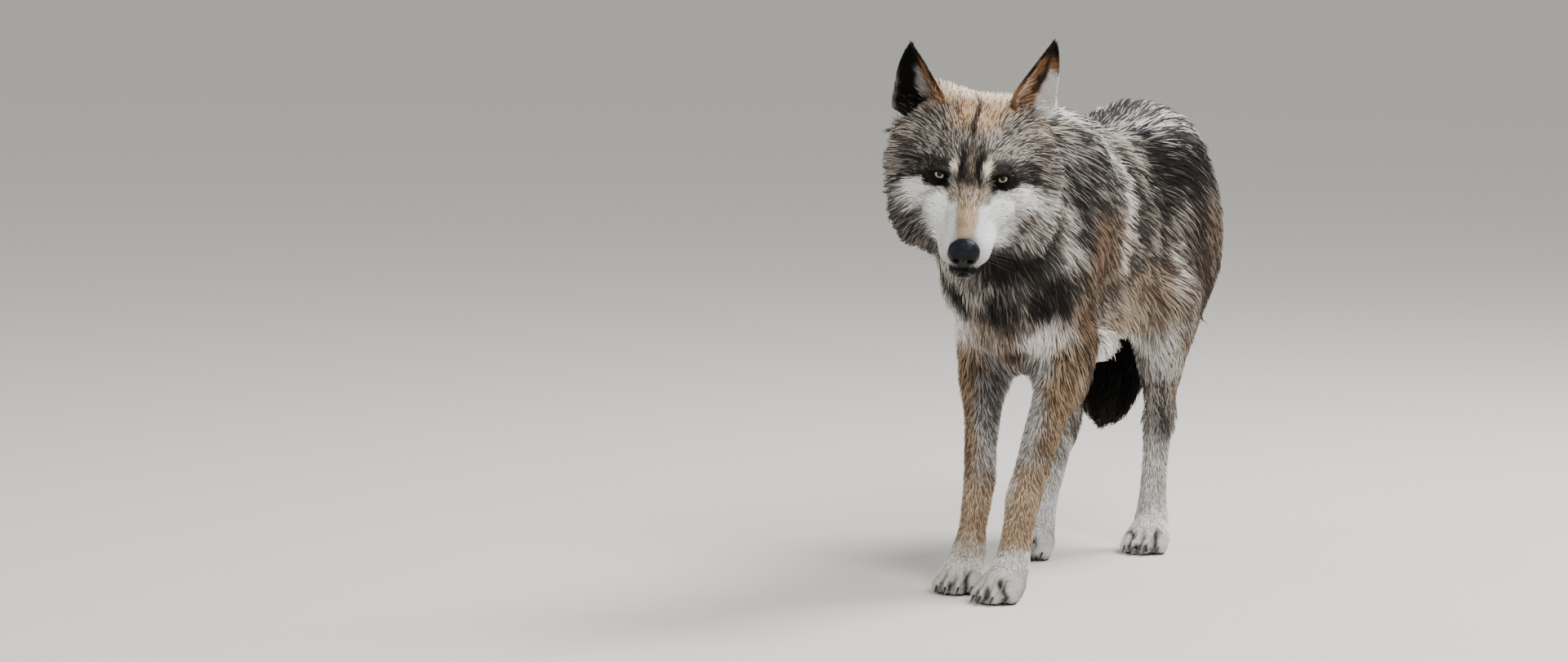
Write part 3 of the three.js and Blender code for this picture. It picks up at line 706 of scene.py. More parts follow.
# Markings: kind, place, half-sizes, softness, pale hair, dark hair and the share of dark hair. Later ones
# lie on top. b is the body with the right side laid over the left, l and r one side of it, t the tail, h the
# head with the right side laid over the left, hl and hr one side of it, f the face seen from in front, in
# mm across and up.
markings = [
    # back, neck and shoulders
    ("b", (0, 60, 720), (110, 340, 80), 0.35, "#dcd8d1", "#100e0d", 0.66),
    ("b", (0, -260, 700), (90, 90, 60), 0.4, "#b3a998", "#2a2521", 0.50),
    ("b", (70, 190, 690), (80, 130, 75), 0.4, "#f7f5f1", "#0a0908", 0.66),
    ("b", (105, 150, 600), (44, 110, 58), 0.35, "#5a5550", "#0a0908", 0.92),
    ("b", (124, 230, 600), (50, 60, 70), 0.45, "#6d6863", "#0a0908", 0.90),
    ("b", (55, -170, 695), (60, 62, 40), 0.5, "#ebe8e2", "#25211e", 0.32),
    ("b", (0, 120, 704), (38, 220, 60), 0.4, "#8d8781", "#0a0908", 0.86),
    ("b", (62, 140, 668), (24, 100, 20), 0.5, "#fbfaf7", "#161311", 0.42),
    ("b", (105, -170, 590), (50, 90, 110), 0.4, "#9a938c", "#14110f", 0.66),
    ("b", (90, -320, 620), (60, 60, 70), 0.4, "#98918a", "#141110", 0.66),
    ("b", (110, -262, 560), (46, 46, 78), 0.45, "#6f6862", "#131110", 0.76),
    ("b", (102, -318, 520), (34, 36, 60), 0.5, "#e3ddd3", "#6b635b", 0.28),
    # flank: pale bands behind the shoulder, the black saddle and the cream below
    ("b", (115, 40, 480), (60, 120, 80), 0.4, "#958a7f", "#2a2420", 0.58),
    ("b", (112, -120, 470), (50, 66, 90), 0.4, "#8f7861", "#3a2b20", 0.54),
    ("b", (92, -104, 640), (44, 26, 36), 0.5, "#ded9d0", "#6f655c", 0.20),
    ("b", (102, -66, 596), (44, 24, 36), 0.5, "#ded9d0", "#6f655c", 0.20),
    ("b", (110, -58, 545), (44, 22, 40), 0.5, "#ded6ca", "#6f655c", 0.20),
    ("b", (111, -80, 488), (44, 22, 40), 0.5, "#d6cab8", "#7a6a5a", 0.22),
    ("b", (92, 28, 640), (44, 26, 24), 0.5, "#cfcac2", "#3a342f", 0.36),
    ("b", (98, -30, 606), (44, 11, 34), 0.5, "#5b544e", "#0f0d0c", 0.85),
    ("b", (110, -8, 560), (44, 14, 40), 0.5, "#5b544e", "#0f0d0c", 0.82),
    ("b", (115, 8, 506), (44, 24, 50), 0.5, "#6a625a", "#171412", 0.70),
    ("b", (90, 112, 632), (60, 44, 44), 0.4, "#4f4843", "#0b0a09", 0.88),
    ("b", (105, 98, 592), (60, 38, 44), 0.4, "#4f4843", "#0b0a09", 0.88),
    ("b", (114, 88, 550), (50, 28, 36), 0.5, "#5b544e", "#0f0d0c", 0.82),
    ("b", (119, 104, 490), (50, 32, 40), 0.5, "#8c7f74", "#2f2721", 0.56),
    ("b", (104, 40, 415), (50, 100, 44), 0.45, "#a08a70", "#544231", 0.44),
    ("b", (80, 20, 375), (56, 130, 30), 0.45, "#ad9a82", "#66523e", 0.38),
    ("b", (30, 30, 335), (70, 200, 22), 0.5, "#e4ddd2", "#a39582", 0.20),
    ("b", (76, -118, 316), (40, 54, 40), 0.4, "#f7f5f1", "#cfc8bd", 0.08),
    # thigh and hind leg
    ("b", (135, 205, 490), (60, 64, 110), 0.35, "#6d6158", "#221a15", 0.62),
    ("b", (120, 255, 420), (80, 80, 130), 0.4, "#7a6857", "#33271e", 0.56),
    ("b", (94, 158, 300), (45, 60, 70), 0.4, "#c6c2bc", "#77716a", 0.28),
    ("b", (116, 190, 310), (28, 55, 80), 0.4, "#9c8b77", "#544435", 0.42),
    ("b", (126, 150, 548), (40, 5, 30), 0.5, "#e2dcd2", "#8d8377", 0.24),
    ("b", (129, 146, 497), (40, 6, 44), 0.5, "#e2dcd2", "#8d8377", 0.24),
    ("b", (133, 124, 437), (46, 10, 46), 0.5, "#e9e4db", "#a0968a", 0.20),
    ("b", (50, 200, 120), (60, 90, 90), 0.4, "#d2cdc6", "#8f8881", 0.22),
    ("b", (54, 232, 205), (34, 30, 50), 0.5, "#857e77", "#3b3531", 0.52),
    ("b", (84, 240, 200), (20, 34, 90), 0.5, "#b0967a", "#7b6046", 0.34),
    ("b", (90, 110, 90), (30, 60, 80), 0.4, "#e4e1dc", "#a39c94", 0.14),
    ("b", (60, 140, 26), (90, 130, 50), 0.35, "#fbf9f6", "#dcd6cd", 0.06),
    # upper arm, chest and mane
    ("b", (118, -202, 500), (46, 50, 62), 0.45, "#85694f", "#34251a", 0.56),
    ("b", (106, -208, 440), (50, 60, 62), 0.45, "#84684e", "#32241a", 0.56),
    ("b", (94, -240, 370), (44, 60, 60), 0.45, "#866a50", "#39291d", 0.52),
    ("b", (0, -330, 380), (90, 70, 40), 0.4, "#b0a08b", "#66554a", 0.42),
    # the dark mane under the jaw, darkened further as painted shadow of the head
    ("b", (0, -420, 500), (110, 80, 90), 0.4, "#6a625a", "#191512", 0.62),
    ("l", (62, -372, 468), (60, 60, 76), 0.35, "#3d3834", "#0c0a09", 0.88),
    ("l", (84, -318, 430), (38, 40, 48), 0.4, "#463f3a", "#100e0d", 0.82),
    ("l", (14, -352, 412), (42, 40, 28), 0.45, "#57504a", "#131110", 0.72),
    ("r", (-62, -345, 430), (24, 50, 44), 0.45, "#3a3531", "#0c0a09", 0.85),
    ("r", (-82, -405, 490), (30, 60, 60), 0.45, "#3f3935", "#0f0d0c", 0.82),
    ("r", (-28, -380, 452), (22, 50, 40), 0.5, "#bab4ac", "#6d6660", 0.24),
    ("l", (34, -354, 422), (9, 40, 26), 0.5, "#9a9188", "#4a433d", 0.35),
    ("r", (-95, -270, 390), (40, 70, 46), 0.4, "#f5f2ed", "#d3cabd", 0.08),
    ("l", (64, -300, 366), (38, 50, 34), 0.4, "#f3efe9", "#cfc6b9", 0.10),
    # painted shade at the top of the forelegs, under the chest
    ("b", (4, -308, 344), (34, 34, 18), 0.5, "#6d553e", "#33251a", 0.58),
    # forelegs
    ("b", (74, -290, 235), (34, 110, 140), 0.35, "#a08362", "#574331", 0.40),
    ("b", (38, -285, 240), (19, 90, 120), 0.4, "#b3ada6", "#6a645f", 0.30),
    # grey hair of the right foreleg, darkened at its top as painted shade under the chest
    ("r", (-38, -270, 290), (26, 50, 60), 0.45, "#87817b", "#3b3632", 0.50),
    ("b", (42, -335, 110), (52, 90, 80), 0.35, "#bda07c", "#7a6046", 0.30),
    ("b", (20, -320, 180), (12, 50, 60), 0.5, "#d0c8bd", "#8f867b", 0.16),
    ("b", (45, -400, 26), (84, 110, 44), 0.4, "#f6f1e8", "#cdbfa9", 0.08),
    ("t", (0, 372, 560), (80, 80, 110), 0.3, "#4f453c", "#12100e", 0.75),
    ("t", (-26, 330, 320), (110, 130, 180), 0.3, "#27221e", "#0a0908", 0.85),
    # head: ground colour, ruff and under the jaw
    ("h", (0, -40, 10), (170, 120, 150), 0.3, "#a99e91", "#1f1a17", 0.52),
    ("h", (116, -60, -30), (30, 50, 90), 0.4, "#a79e93", "#191614", 0.62),
    ("h", (90, -70, -118), (60, 60, 50), 0.4, "#6f665d", "#15120f", 0.70),
    # the dark hair under the jaw, darkened further as painted shadow of the head
    ("h", (0, -110, -140), (60, 90, 46), 0.4, "#6a625a", "#191512", 0.66),
    ("hl", (62, -92, -142), (54, 60, 50), 0.35, "#3a3430", "#0c0a09", 0.92),
    ("hl", (56, -106, -104), (34, 44, 26), 0.45, "#4a443f", "#11100e", 0.80),
    ("hr", (-30, -90, -190), (30, 60, 50), 0.45, "#b3ada5", "#6d6660", 0.26),
    ("hl", (108, -70, -66), (30, 50, 50), 0.45, "#d3ccc2", "#4c443d", 0.36),
    ("hl", (84, -92, -86), (30, 40, 36), 0.45, "#c0b8ae", "#554d46", 0.42),
    ("hr", (-103, -50, 36), (20, 44, 16), 0.5, "#e5d8c1", "#98826a", 0.22),
    ("hl", (96, -26, 50), (26, 44, 22), 0.5, "#ecd9bd", "#b08c62", 0.20),
    # face, seen from in front
    ("f", (62, -14), (52, 30), 0.4, "#a89d91", "#201b18", 0.56),
    ("f", (0, 40), (42, 34), 0.45, "#c9a277", "#5a4029", 0.40),
    ("f", (0, 76), (72, 17), 0.5, "#fff4e0", "#e3bd90", 0.04),
    ("h", (0, 36, 62), (88, 40, 30), 0.4, "#f3dfc2", "#b08d66", 0.12),
    ("f", (56, 62), (24, 22), 0.5, "#d9b98f", "#7f5f40", 0.22),
    ("f", (76, -42), (58, 12), 0.45, "#6c635a", "#14110f", 0.72),
    ("f", (78, -80), (40, 19), 0.38, "#fbfaf8", "#c9c3bb", 0.05),
    ("f", (40, -112), (23, 31), 0.35, "#fefdfc", "#ebe8e4", 0.02),
    ("h", (26, -204, -28), (27, 56, 34), 0.35, "#fefdfc", "#ebe8e4", 0.02),
    ("f", (84, -128), (34, 32), 0.5, "#a39b92", "#2a2521", 0.52),
    ("f", (112, -76), (16, 50), 0.5, "#a69c90", "#332c27", 0.52),
    ("f", (0, -118), (15.5, 36), 0.25, "#e0c59b", "#8f6c44", 0.32),
    ("f", (0, -84), (21, 16), 0.5, "#c2ab93", "#5f4d3e", 0.38),
    ("f", (23, -92), (6, 9), 0.5, "#b5a18c", "#6c5747", 0.36),
    ("f", (0, 20), (4, 46), 0.6, "#4c3d31", "#1a130f", 0.82),
    ("f", (0, -46), (17, 33), 0.35, "#6a5b4c", "#17110d", 0.60),
    ("f", (13.5, -44), (4.2, 32), 0.55, "#2a221c", "#0b0908", 0.90),
    ("f", (0, -48), (6, 18), 0.5, "#85745f", "#352b22", 0.45),
    ("f", (24.5, -47), (5.2, 12), 0.45, "#f3e3cc", "#c9ae8c", 0.08),
    ("f", (76, -56), (42, 3.8), 0.5, "#37302b", "#0d0b0a", 0.82),
    ("f", (47.5, -62), (18, 11.5), 0.3, "#191614", "#080706", 0.94),
    ("f", (33, -75), (5, 10), 0.5, "#37302b", "#100d0c", 0.80),
    ("f", (50, -84), (18, 6), 0.5, "#d5d1cb", "#8a837c", 0.22),
    ("f", (0, -208), (30, 14), 0.4, "#8f8983", "#3e3a36", 0.42),
    ("f", (0, -191), (22, 6.5), 0.35, "#191615", "#080707", 0.95),
]
groundHair = ("#a0978b", "#2c2621", 0.46)  # pale, dark and share of dark before any marking
# painted shade between the toes: its pale and dark hair
toeGapShadeHair = ("#171412", "#0a0908")
paintPlan = {
    "wander": (2, 8), "spots": 60, "spotSeeds": (1, 2, 3), "calm": (0, -150, 0), "calmReach": (90, 200),
    "headBack": (30, 80), "headMiddle": (0, -100, -20), "headReach": (175, 215), "headFront": (-10, 30),
    "faceUp": (0.574, 0.819), "faceDepth": (0, 30),  # how the face stands in the head's own frame
    "cool": 0.16, "greyWeights": (0.25, 0.6, 0.15), "greyTint": (0.99, 1.0, 1.02),
    # toeGap: widths of the painted shade between the toes
    "toeGap": (1.5, 2.6), "skinShade": 0.5,
}


def ground(count, pale, dark, share):
    return np.tile(linear(pale), (count, 1)), np.tile(linear(dark), (count, 1)), np.full(count, share)


def lay(hair, paleHex, darkHex, darkShare, strength):  # one marking over what lies under it
    pale, dark, share = hair
    pale += (linear(paleHex) - pale) * strength[:, None]
    dark += (linear(darkHex) - dark) * strength[:, None]
    share += (darkShare - share) * strength


def paintAt(plan):  # pale hair, dark hair and share of dark hair
    # marks wander 2 mm on the face, and 8 mm more on the body
    off = ramp(farFrom(toHead(plan), paintPlan["calm"]), *paintPlan["calmReach"])[:, None]
    still, more = paintPlan["wander"]
    spots = np.stack([mottle(plan, paintPlan["spots"], seed) for seed in paintPlan["spotSeeds"]], -1)
    plan = plan + spots * (still + more * off)
    head, body, onTail = toHead(plan), foldedBody(plan), tailShare(plan)
    onHead = 1 - ramp(farFrom(head, paintPlan["headMiddle"]), *paintPlan["headReach"])
    onHead = (1 - ramp(head[:, 1], *paintPlan["headBack"])) * onHead
    back, up = paintPlan["faceUp"]
    face = np.stack([np.abs(head[:, 0]), back * head[:, 1] + up * head[:, 2]], -1)
    onFace = onHead * ramp(-up * head[:, 1] + back * head[:, 2], *paintPlan["faceDepth"])
    offHead = 1 - onHead * ramp(-head[:, 1], *paintPlan["headFront"])
    where = {  # where each kind of marking is measured, and where it counts
        "b": (body, 1 - onTail), "l": (plan, 1), "r": (plan, 1), "t": (plan, onTail),
        "h": (folded(head), onHead), "hl": (head, onHead), "hr": (head, onHead), "f": (face, onFace),
    }
    hair = ground(len(plan), *groundHair)
    for kind, at, size, soft, paleHex, darkHex, darkShare in markings:
        points, counts = where[kind]
        strength = (1 - ramp(farFrom(points, at, size), 1 - soft, 1 + soft)) * counts
        if kind in "blr":
            strength = strength * offHead
        lay(hair, paleHex, darkHex, darkShare, strength)
    pale, dark, share = hair
    for colours in (pale, dark):  # a cooler, greyer cast over all of it
        grey = (colours @ np.array(paintPlan["greyWeights"]))[:, None]
        colours += (grey * np.array(paintPlan["greyTint"]) - colours) * paintPlan["cool"]
    # painted shade in the gaps between the toes
    gap, toes = pawAxes(plan)
    narrow, wider = paintPlan["toeGap"]
    strength = (np.exp(-(gap / (narrow + wider * toes)) ** 2) * toes)[:, None]
    for colours, hexColour in zip((pale, dark), toeGapShadeHair):
        colours += (linear(hexColour) - colours) * strength
    return hair


def earPaint(local, front, name):
    u = local[:, 2] / earPlan["height"]
    v = local[:, 0] / earHalf(np.clip(u, 0, 1)) * earPlan[name]["side"] + 0.12 * mottle(local, 22, 9)
    hair = ground(len(local), "#a2744c", "#3a281c", 0.30)
    rules = [
        ("#2c221b", "#0c0a09", 0.9, ramp(u, 0.66, 0.86)),  # black tip
        ("#2c221b", "#0c0a09", 0.85, ramp(np.abs(v), 0.8, 0.98) * ramp(u, 0.2, 0.5)),  # dark edge
    ]
    if name == "right":
        middle = 1 - ramp(np.hypot((v + 0.06) / 0.34, (u - 0.34) / 0.3), 0.6, 1.2)
        rules += [
            ("#161210", "#090807", 0.9, front * ramp(v, -0.5, -0.3)),  # shade in the cup
            ("#b7b2ac", "#56524e", 0.18, front * middle),  # grey hair in it
            # painted rim light: pale grey along the front of the outer rim
            ("#9c938a", "#4c4540", 0.3, front * ramp(v, 0.8, 0.98) * (1 - ramp(u, 0.5, 0.7))),  # outer rim
        ]
    else:
        # line: where painted shadow falls beside the white outer half
        line = ramp(v, 0.1, 0.3) * (1 - ramp(v, 0.35, 0.5))
        outer = ramp(v, 0.35, 0.6) * (1 - ramp(u, 0.5, 0.66))
        rules += [
            ("#f0ece5", "#8f867c", 0.10, front * outer),  # white outer half
            # painted shadow beside the white outer half
            ("#4a3a2e", "#15110e", 0.7, front * line * ramp(u, 0.1, 0.3)),  # dark line beside it
        ]
    for rule in rules:
        lay(hair, *rule)
    return hair


def colourAttribute(thing, colours):
    layer = thing.data.color_attributes.new("coatColour", "FLOAT_COLOR", "POINT")
    rgba = np.hstack([np.clip(colours, 0, 1), np.ones((len(colours), 1))])
    layer.data.foreach_set("color", rgba.astype(np.float32).ravel())


def paintSkin(thing, pale, dark, share):
    # painted shade: the skin under the coat is darkened by skinShade
    colourAttribute(thing, (pale + (dark - pale) * share[:, None]) * paintPlan["skinShade"])


def makeBed(thing):  # the triangles that hair is planted on
    mesh = thing.data
    mesh.calc_loop_triangles()
    count = len(mesh.loop_triangles)
    corner, loop = np.empty(count * 3, dtype=np.int32), np.empty(count * 3, dtype=np.int32)
    mesh.loop_triangles.foreach_get("vertices", corner)
    mesh.loop_triangles.foreach_get("loops", loop)
    uv = np.empty(len(mesh.loops) * 2)
    mesh.uv_layers["OFBake"].data.foreach_get("uv", uv)
    corner, loop, uv = corner.reshape(-1, 3), loop.reshape(-1, 3), uv.reshape(-1, 2)
    points = vertexArray(thing)
    a, b, c = (points[corner[:, k]] for k in range(3))
    area = np.linalg.norm(np.cross(b - a, c - a), axis=1) / 2
    return {
        "points": points, "normals": vertexNormals(thing), "corner": corner,
        "uv": uv[loop], "area": area, "middle": (a + b + c) / 3,
    }


def plant(bed, closeness):  # roots spread over the bed, so many to the square centimetre
    weight = bed["area"] * 1e4 * closeness
    count = int(weight.sum())
    at = (np.arange(count) + rng.uniform(size=count)) / count * weight.sum()
    face = np.minimum(np.searchsorted(np.cumsum(weight), at), len(weight) - 1)
    r1, r2 = np.sqrt(rng.uniform(size=count)), rng.uniform(size=count)
    share = np.stack([1 - r1, r1 * (1 - r2), r1 * r2], -1)[..., None]
    corner = bed["corner"][face]
    place, normal = (bed["points"][corner] * share).sum(1), (bed["normals"][corner] * share).sum(1)
    return place, unit(normal), (bed["uv"][face] * share).sum(1)


def nearestOn(tree, points):
    out = np.empty((len(points), 6))
    for i, p in enumerate(points.tolist()):
        place, normal, _, _ = tree.find_nearest(p)
        out[i, :3], out[i, 3:] = place, normal
    return out[:, :3], out[:, 3:]


def flatTo(way, normal):
    return unit(way - (way * normal).sum(-1, keepdims=True) * normal)


print("wolf: markings and lie of the coat set")

# Each tuft is a lock with three sides. The longer it is, the more stations it has from root to tip.
tuftPlan = {
    "long": {"stations": (0, 0.38, 0.74, 1), "swell": (0.7, 1.0, 0.66, 0), "ownShade": 0.45},
    "short": {"stations": (0, 0.5, 1), "swell": (0.85, 1.0, 0), "ownShade": 0.4},
    "fine": {"stations": (0, 1), "swell": (1.0, 0), "ownShade": 0.3},
    "longFrom": 21, "fineTo": 10.5, "flatness": 0.5, "sunk": 1.6, "floor": 0.2,
    "patch": (0.0011, 0.003), "pieceLimit": 185000, "middleAt": 0.4,  # where the middle colour sits
    "midRise": 0.66, "midPull": 0.32, "hold": (0.5, 1.2),
    "locks": 9, "lockReach": 0.45,  # one tuft in nine leads a lock
    # a half tuft that leaves the skin, or turns back, goes straight on, by this share of its length
    "stray": (0.22, 0.25), "fold": 0.3, "straight": (0.5, 0.48), "straightBack": 0.42,
}
coatCount = {}


def stepOn(tree, start, normal, way, metre, stray, step):  # half a tuft on, along the skin where that works
    place, out = nearestOn(tree, start + way * metre * 0.5)
    strayed = (np.abs(np.linalg.norm(place - start, axis=1) / metre[:, 0] - 0.5) > stray)[:, None]
    return np.where(strayed, start + way * metre * step, place), np.where(strayed, normal, out)


def growTufts(tree, place, normal, length, rise, lie, gather, wander):
    count = len(place)
    metre = (length * mm)[:, None]
    sideways = unit(np.cross(normal, lie(place)))
    first = flatTo(lie(place) + sideways * (rng.normal(size=count) * wander)[:, None], normal)
    p1, n1 = stepOn(tree, place, normal, first, metre, tuftPlan["stray"][0], tuftPlan["straight"][0])
    second = flatTo(0.5 * lie(p1) + 0.5 * first, n1)
    p2, n2 = stepOn(tree, p1, n1, second, metre, tuftPlan["stray"][1], tuftPlan["straight"][1])
    ahead = unit(p1 - place)
    back = ((p2 - p1) * ahead).sum(-1, keepdims=True) < tuftPlan["fold"] * metre * 0.5
    p2, n2 = np.where(back, p1 + ahead * metre * tuftPlan["straightBack"], p2), np.where(back, n1, n2)
    high = (rise * mm)[:, None]
    q0 = place - normal * tuftPlan["sunk"] * mm
    q1 = p1 + n1 * high * tuftPlan["midRise"]
    q2 = p2 + n2 * high
    # hairs close together draw to the same tip, as locks do
    leaders = rng.choice(count, max(count // tuftPlan["locks"], 1), replace=False)
    book = KDTree(len(leaders))
    for k, leader in enumerate(leaders):
        book.insert(place[leader], k)
    book.balance()
    near = leaders[[book.find(p)[1] for p in place.tolist()]]
    pull = q2[near] - q2
    far = np.linalg.norm(pull, axis=1, keepdims=True)
    pull *= np.minimum(1, tuftPlan["lockReach"] * metre / np.maximum(far, 1e-6))
    hold = (gather * rng.uniform(*tuftPlan["hold"], count))[:, None]
    q1, q2 = q1 + pull * hold * tuftPlan["midPull"], q2 + pull * hold
    return {"q0": q0, "q1": q1, "q2": q2, "n0": normal, "n2": n2}


def shapeTufts(kind, grown, width):  # a smooth curve through q0, q1 and q2, with a flat lock along it
    plan = tuftPlan[kind]
    q0, q1, q2 = grown["q0"], grown["q1"], grown["q2"]
    count, rings = len(q0), len(plan["stations"]) - 1
    vertices = np.empty((count, rings * 3 + 1, 3))
    for k, t in enumerate(plan["stations"]):
        at = q0 * (1 - t) * (1 - 2 * t) + q1 * 4 * t * (1 - t) + q2 * t * (2 * t - 1)
        if k == rings:
            vertices[:, -1] = at
            break
        along = unit(q0 * (4 * t - 3) + q1 * (4 - 8 * t) + q2 * (4 * t - 1))
        up = flatTo(grown["n0"] * (1 - t) + grown["n2"] * t, along)
        across = np.cross(along, up)
        half = (width * plan["swell"][k] * 0.5 * mm)[:, None]
        thick = half * 2 * tuftPlan["flatness"]
        vertices[:, k * 3] = at - across * half - up * thick / 3
        vertices[:, k * 3 + 1] = at + up * thick * 2 / 3
        vertices[:, k * 3 + 2] = at + across * half - up * thick / 3
    vertices[:, :, 2] = np.maximum(vertices[:, :, 2], tuftPlan["floor"] * mm)
    faces = [(0, 2, 1)]
    for k in range(rings - 1):
        for i in range(3):
            a, b = k * 3 + i, k * 3 + (i + 1) % 3
            faces += [(a, b, b + 3), (a, b + 3, a + 3)]
    last = (rings - 1) * 3
    faces += [(last + i, last + (i + 1) % 3, rings * 3) for i in range(3)]
    return vertices, np.array(faces)


def tuftPart(kind, grown, width, uv, colours):  # one kind of tuft with its colours, bake patches and shading
    vertices, faces = shapeTufts(kind, grown, width)
    stations = tuftPlan[kind]["stations"]
    wide, long = tuftPlan["patch"]
    t = np.array(np.repeat(stations[:-1], 3).tolist() + [1.0])
    across = np.array([1, 0, -1] * (len(stations) - 1) + [0]) * wide
    patch = np.stack([across, (t - 0.5) * long], -1)
    root, middle, tip = colours
    t, at = t[None, :, None], tuftPlan["middleAt"]
    low = root[:, None] + (middle - root)[:, None] * np.clip(t / at, 0, 1)
    colour = low + (tip - middle)[:, None] * np.clip((t - at) / (1 - at), 0, 1)
    shade = unit(grown["n0"][:, None] * (1 - t) + grown["n2"][:, None] * t)
    uv = uv[:, None] + patch[None]
    return {"vertices": vertices, "faces": faces, "uv": uv, "colour": colour, "shade": shade}


def buildCoat(name, parts):  # joins the parts, kept by their share of own shading, into one piece
    faces, start = [], 0
    for part, _ in parts:
        count, each = part["vertices"].shape[:2]
        steps = start + np.arange(count)[:, None, None] * each
        faces.append((part["faces"][None] + steps).reshape(-1, 3))
        start += count * each
    faces = np.concatenate(faces)
    vertices, colour, shade = (
        np.concatenate([part[key].reshape(-1, 3) for part, _ in parts])
        for key in ("vertices", "colour", "shade")
    )
    uv = np.concatenate([part["uv"].reshape(-1, 2) for part, _ in parts])
    own = np.concatenate([np.full((part["vertices"].size // 3, 1), share) for part, share in parts])
    mesh = bpy.data.meshes.new(name)
    mesh.vertices.add(len(vertices))
    mesh.vertices.foreach_set("co", vertices.astype(np.float32).ravel())
    mesh.loops.add(len(faces) * 3)
    mesh.loops.foreach_set("vertex_index", faces.astype(np.int32).ravel())
    mesh.polygons.add(len(faces))
    mesh.polygons.foreach_set("loop_start", np.arange(0, len(faces) * 3, 3, dtype=np.int32))
    mesh.update(calc_edges=True)
    layer = mesh.uv_layers.new(name="OFBake")
    layer.data.foreach_set("uv", np.clip(uv, 0, 1)[faces.ravel()].astype(np.float32).ravel())
    piece = linked(name, mesh)
    colourAttribute(piece, colour)
    mesh.shade_smooth()
    # the shading leans to the skin's, so that a lock takes light as part of the coat
    normals = unit(vertexNormals(piece) * own + shade * (1 - own))
    mesh.normals_split_custom_set_from_vertices(normals.tolist())
    mesh.materials.append(coatHair)
    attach(piece, "root")
    coatCount[name] = len(faces)


hairPlan = {  # streaks run along the hair, and single tufts come out lighter or darker
    "streaks": ((0.6, 34, 5), (0.5, 13, 6)), "stretch": 0.8, "unevenness": 0.11, "clouds": (0.10, 48, 7),
    # root: share of pale hair at the root, then painted shade at the root, deeper where more hair is dark
    "darkBody": 0.84, "paleTip": 1.08, "tipFade": 0.175, "root": (0.45, 0.62, 0.2), "leastStreak": 0.05,
}


def tuftColours(plan, lie, pale, dark, share, strong):
    count = len(plan)
    stretched = plan - hairPlan["stretch"] * (plan * lie).sum(-1, keepdims=True) * lie
    (much, wide, seed), (less, narrow, otherSeed) = hairPlan["streaks"]
    streak = much * mottle(stretched, wide, seed) + less * mottle(stretched, narrow, otherSeed)
    chance = share + strong * streak * np.minimum(1, 4 * share * (1 - share) + hairPlan["leastStreak"])
    isDark = (rng.uniform(size=count) < chance)[:, None]
    amount, size, seed = hairPlan["clouds"]
    light = (rng.normal(1, hairPlan["unevenness"], count) * (1 + amount * mottle(plan, size, seed)))[:, None]
    body, (mix, deep, deeper) = hairPlan["darkBody"], hairPlan["root"]
    middle = np.where(isDark, pale * (1 - body) + dark * body, pale) * light
    tip = np.where(isDark, dark, pale * (hairPlan["paleTip"] - hairPlan["tipFade"] * share[:, None])) * light
    # painted shade at the roots, under the coat
    root = (pale * mix + dark * (1 - mix)) * (deep - deeper * share[:, None]) * light
    return root, middle, tip


def addNode(material, kind, values=None, feeds=None, into=None, **settings):  # into: output, shader socket
    node = material.node_tree.nodes.new(kind)
    for name, value in settings.items():
        setattr(node, name, value)
    for socket, value in (values or {}).items():
        node.inputs[socket].default_value = value
    for socket, (source, out) in (feeds or {}).items():
        material.node_tree.links.new(source.outputs[out], node.inputs[socket])
    if into:
        out, socket = into
        shader = material.node_tree.nodes["Principled BSDF"]
        material.node_tree.links.new(node.outputs[out], shader.inputs[socket])
    return node


def newMaterial(name, values):
    material = bpy.data.materials.new(name)
    material.use_nodes = True
    shader = material.node_tree.nodes["Principled BSDF"]
    for socket, value in values.items():
        if isinstance(value, str):
            value = (*linear(value), 1)
        shader.inputs[socket].default_value = value
    return material


# Guard hair: soft, dry keratin that scatters light along the lock and shows little gloss.
coatHair = newMaterial("wolfGuardHair", {"Roughness": 0.66, "Specular IOR Level": 0.14})
addNode(coatHair, "ShaderNodeAttribute", into=("Color", "Base Color"), attribute_name="coatColour")

# Underfur on the skin: a felted nap, so it takes no gloss and has a fine bump, drawn coarse enough to show.
underfur = newMaterial("wolfUnderfur", {"Roughness": 0.85, "Specular IOR Level": 0.1})
addNode(underfur, "ShaderNodeAttribute", into=("Color", "Base Color"), attribute_name="coatColour")
onBody = addNode(underfur, "ShaderNodeTexCoord")
napSize = {"Scale": 1 / (2.2 * mm), "Detail": 3, "Roughness": 0.6}
nap = addNode(underfur, "ShaderNodeTexNoise", napSize, {"Vector": (onBody, "Object")})
napDepth = {"Strength": 0.55, "Distance": 0.8 * mm}
addNode(underfur, "ShaderNodeBump", napDepth, {"Height": (nap, "Fac")}, ("Normal", "Normal"))

flesh = (bodySkin, headSkin, pawSkin)
bodyBed, headBed, pawBed = (makeBed(thing) for thing in flesh)
earBeds = {name: makeBed(ear) for name, ear in ears.items()}
starts = np.cumsum([0, len(bodyBed["points"]), len(headBed["points"])])
skinPoints = np.concatenate([bed["points"] for bed in (bodyBed, headBed, pawBed)])
skinFaces = np.concatenate([bed["corner"] + start for bed, start in zip((bodyBed, headBed, pawBed), starts)])
skinTree = BVHTree.FromPolygons(skinPoints.tolist(), skinFaces.tolist())
for thing in flesh:
    paintSkin(thing, *paintAt(toPlan(vertexArray(thing))))
for name, ear in ears.items():
    toEar = earMatrix(name).inverted()
    outward = carry(toEar.to_3x3().to_4x4(), vertexNormals(ear))
    paintSkin(ear, *earPaint(carry(toEar, vertexArray(ear)), ramp(-outward[:, 1], -0.2, 0.2), name))

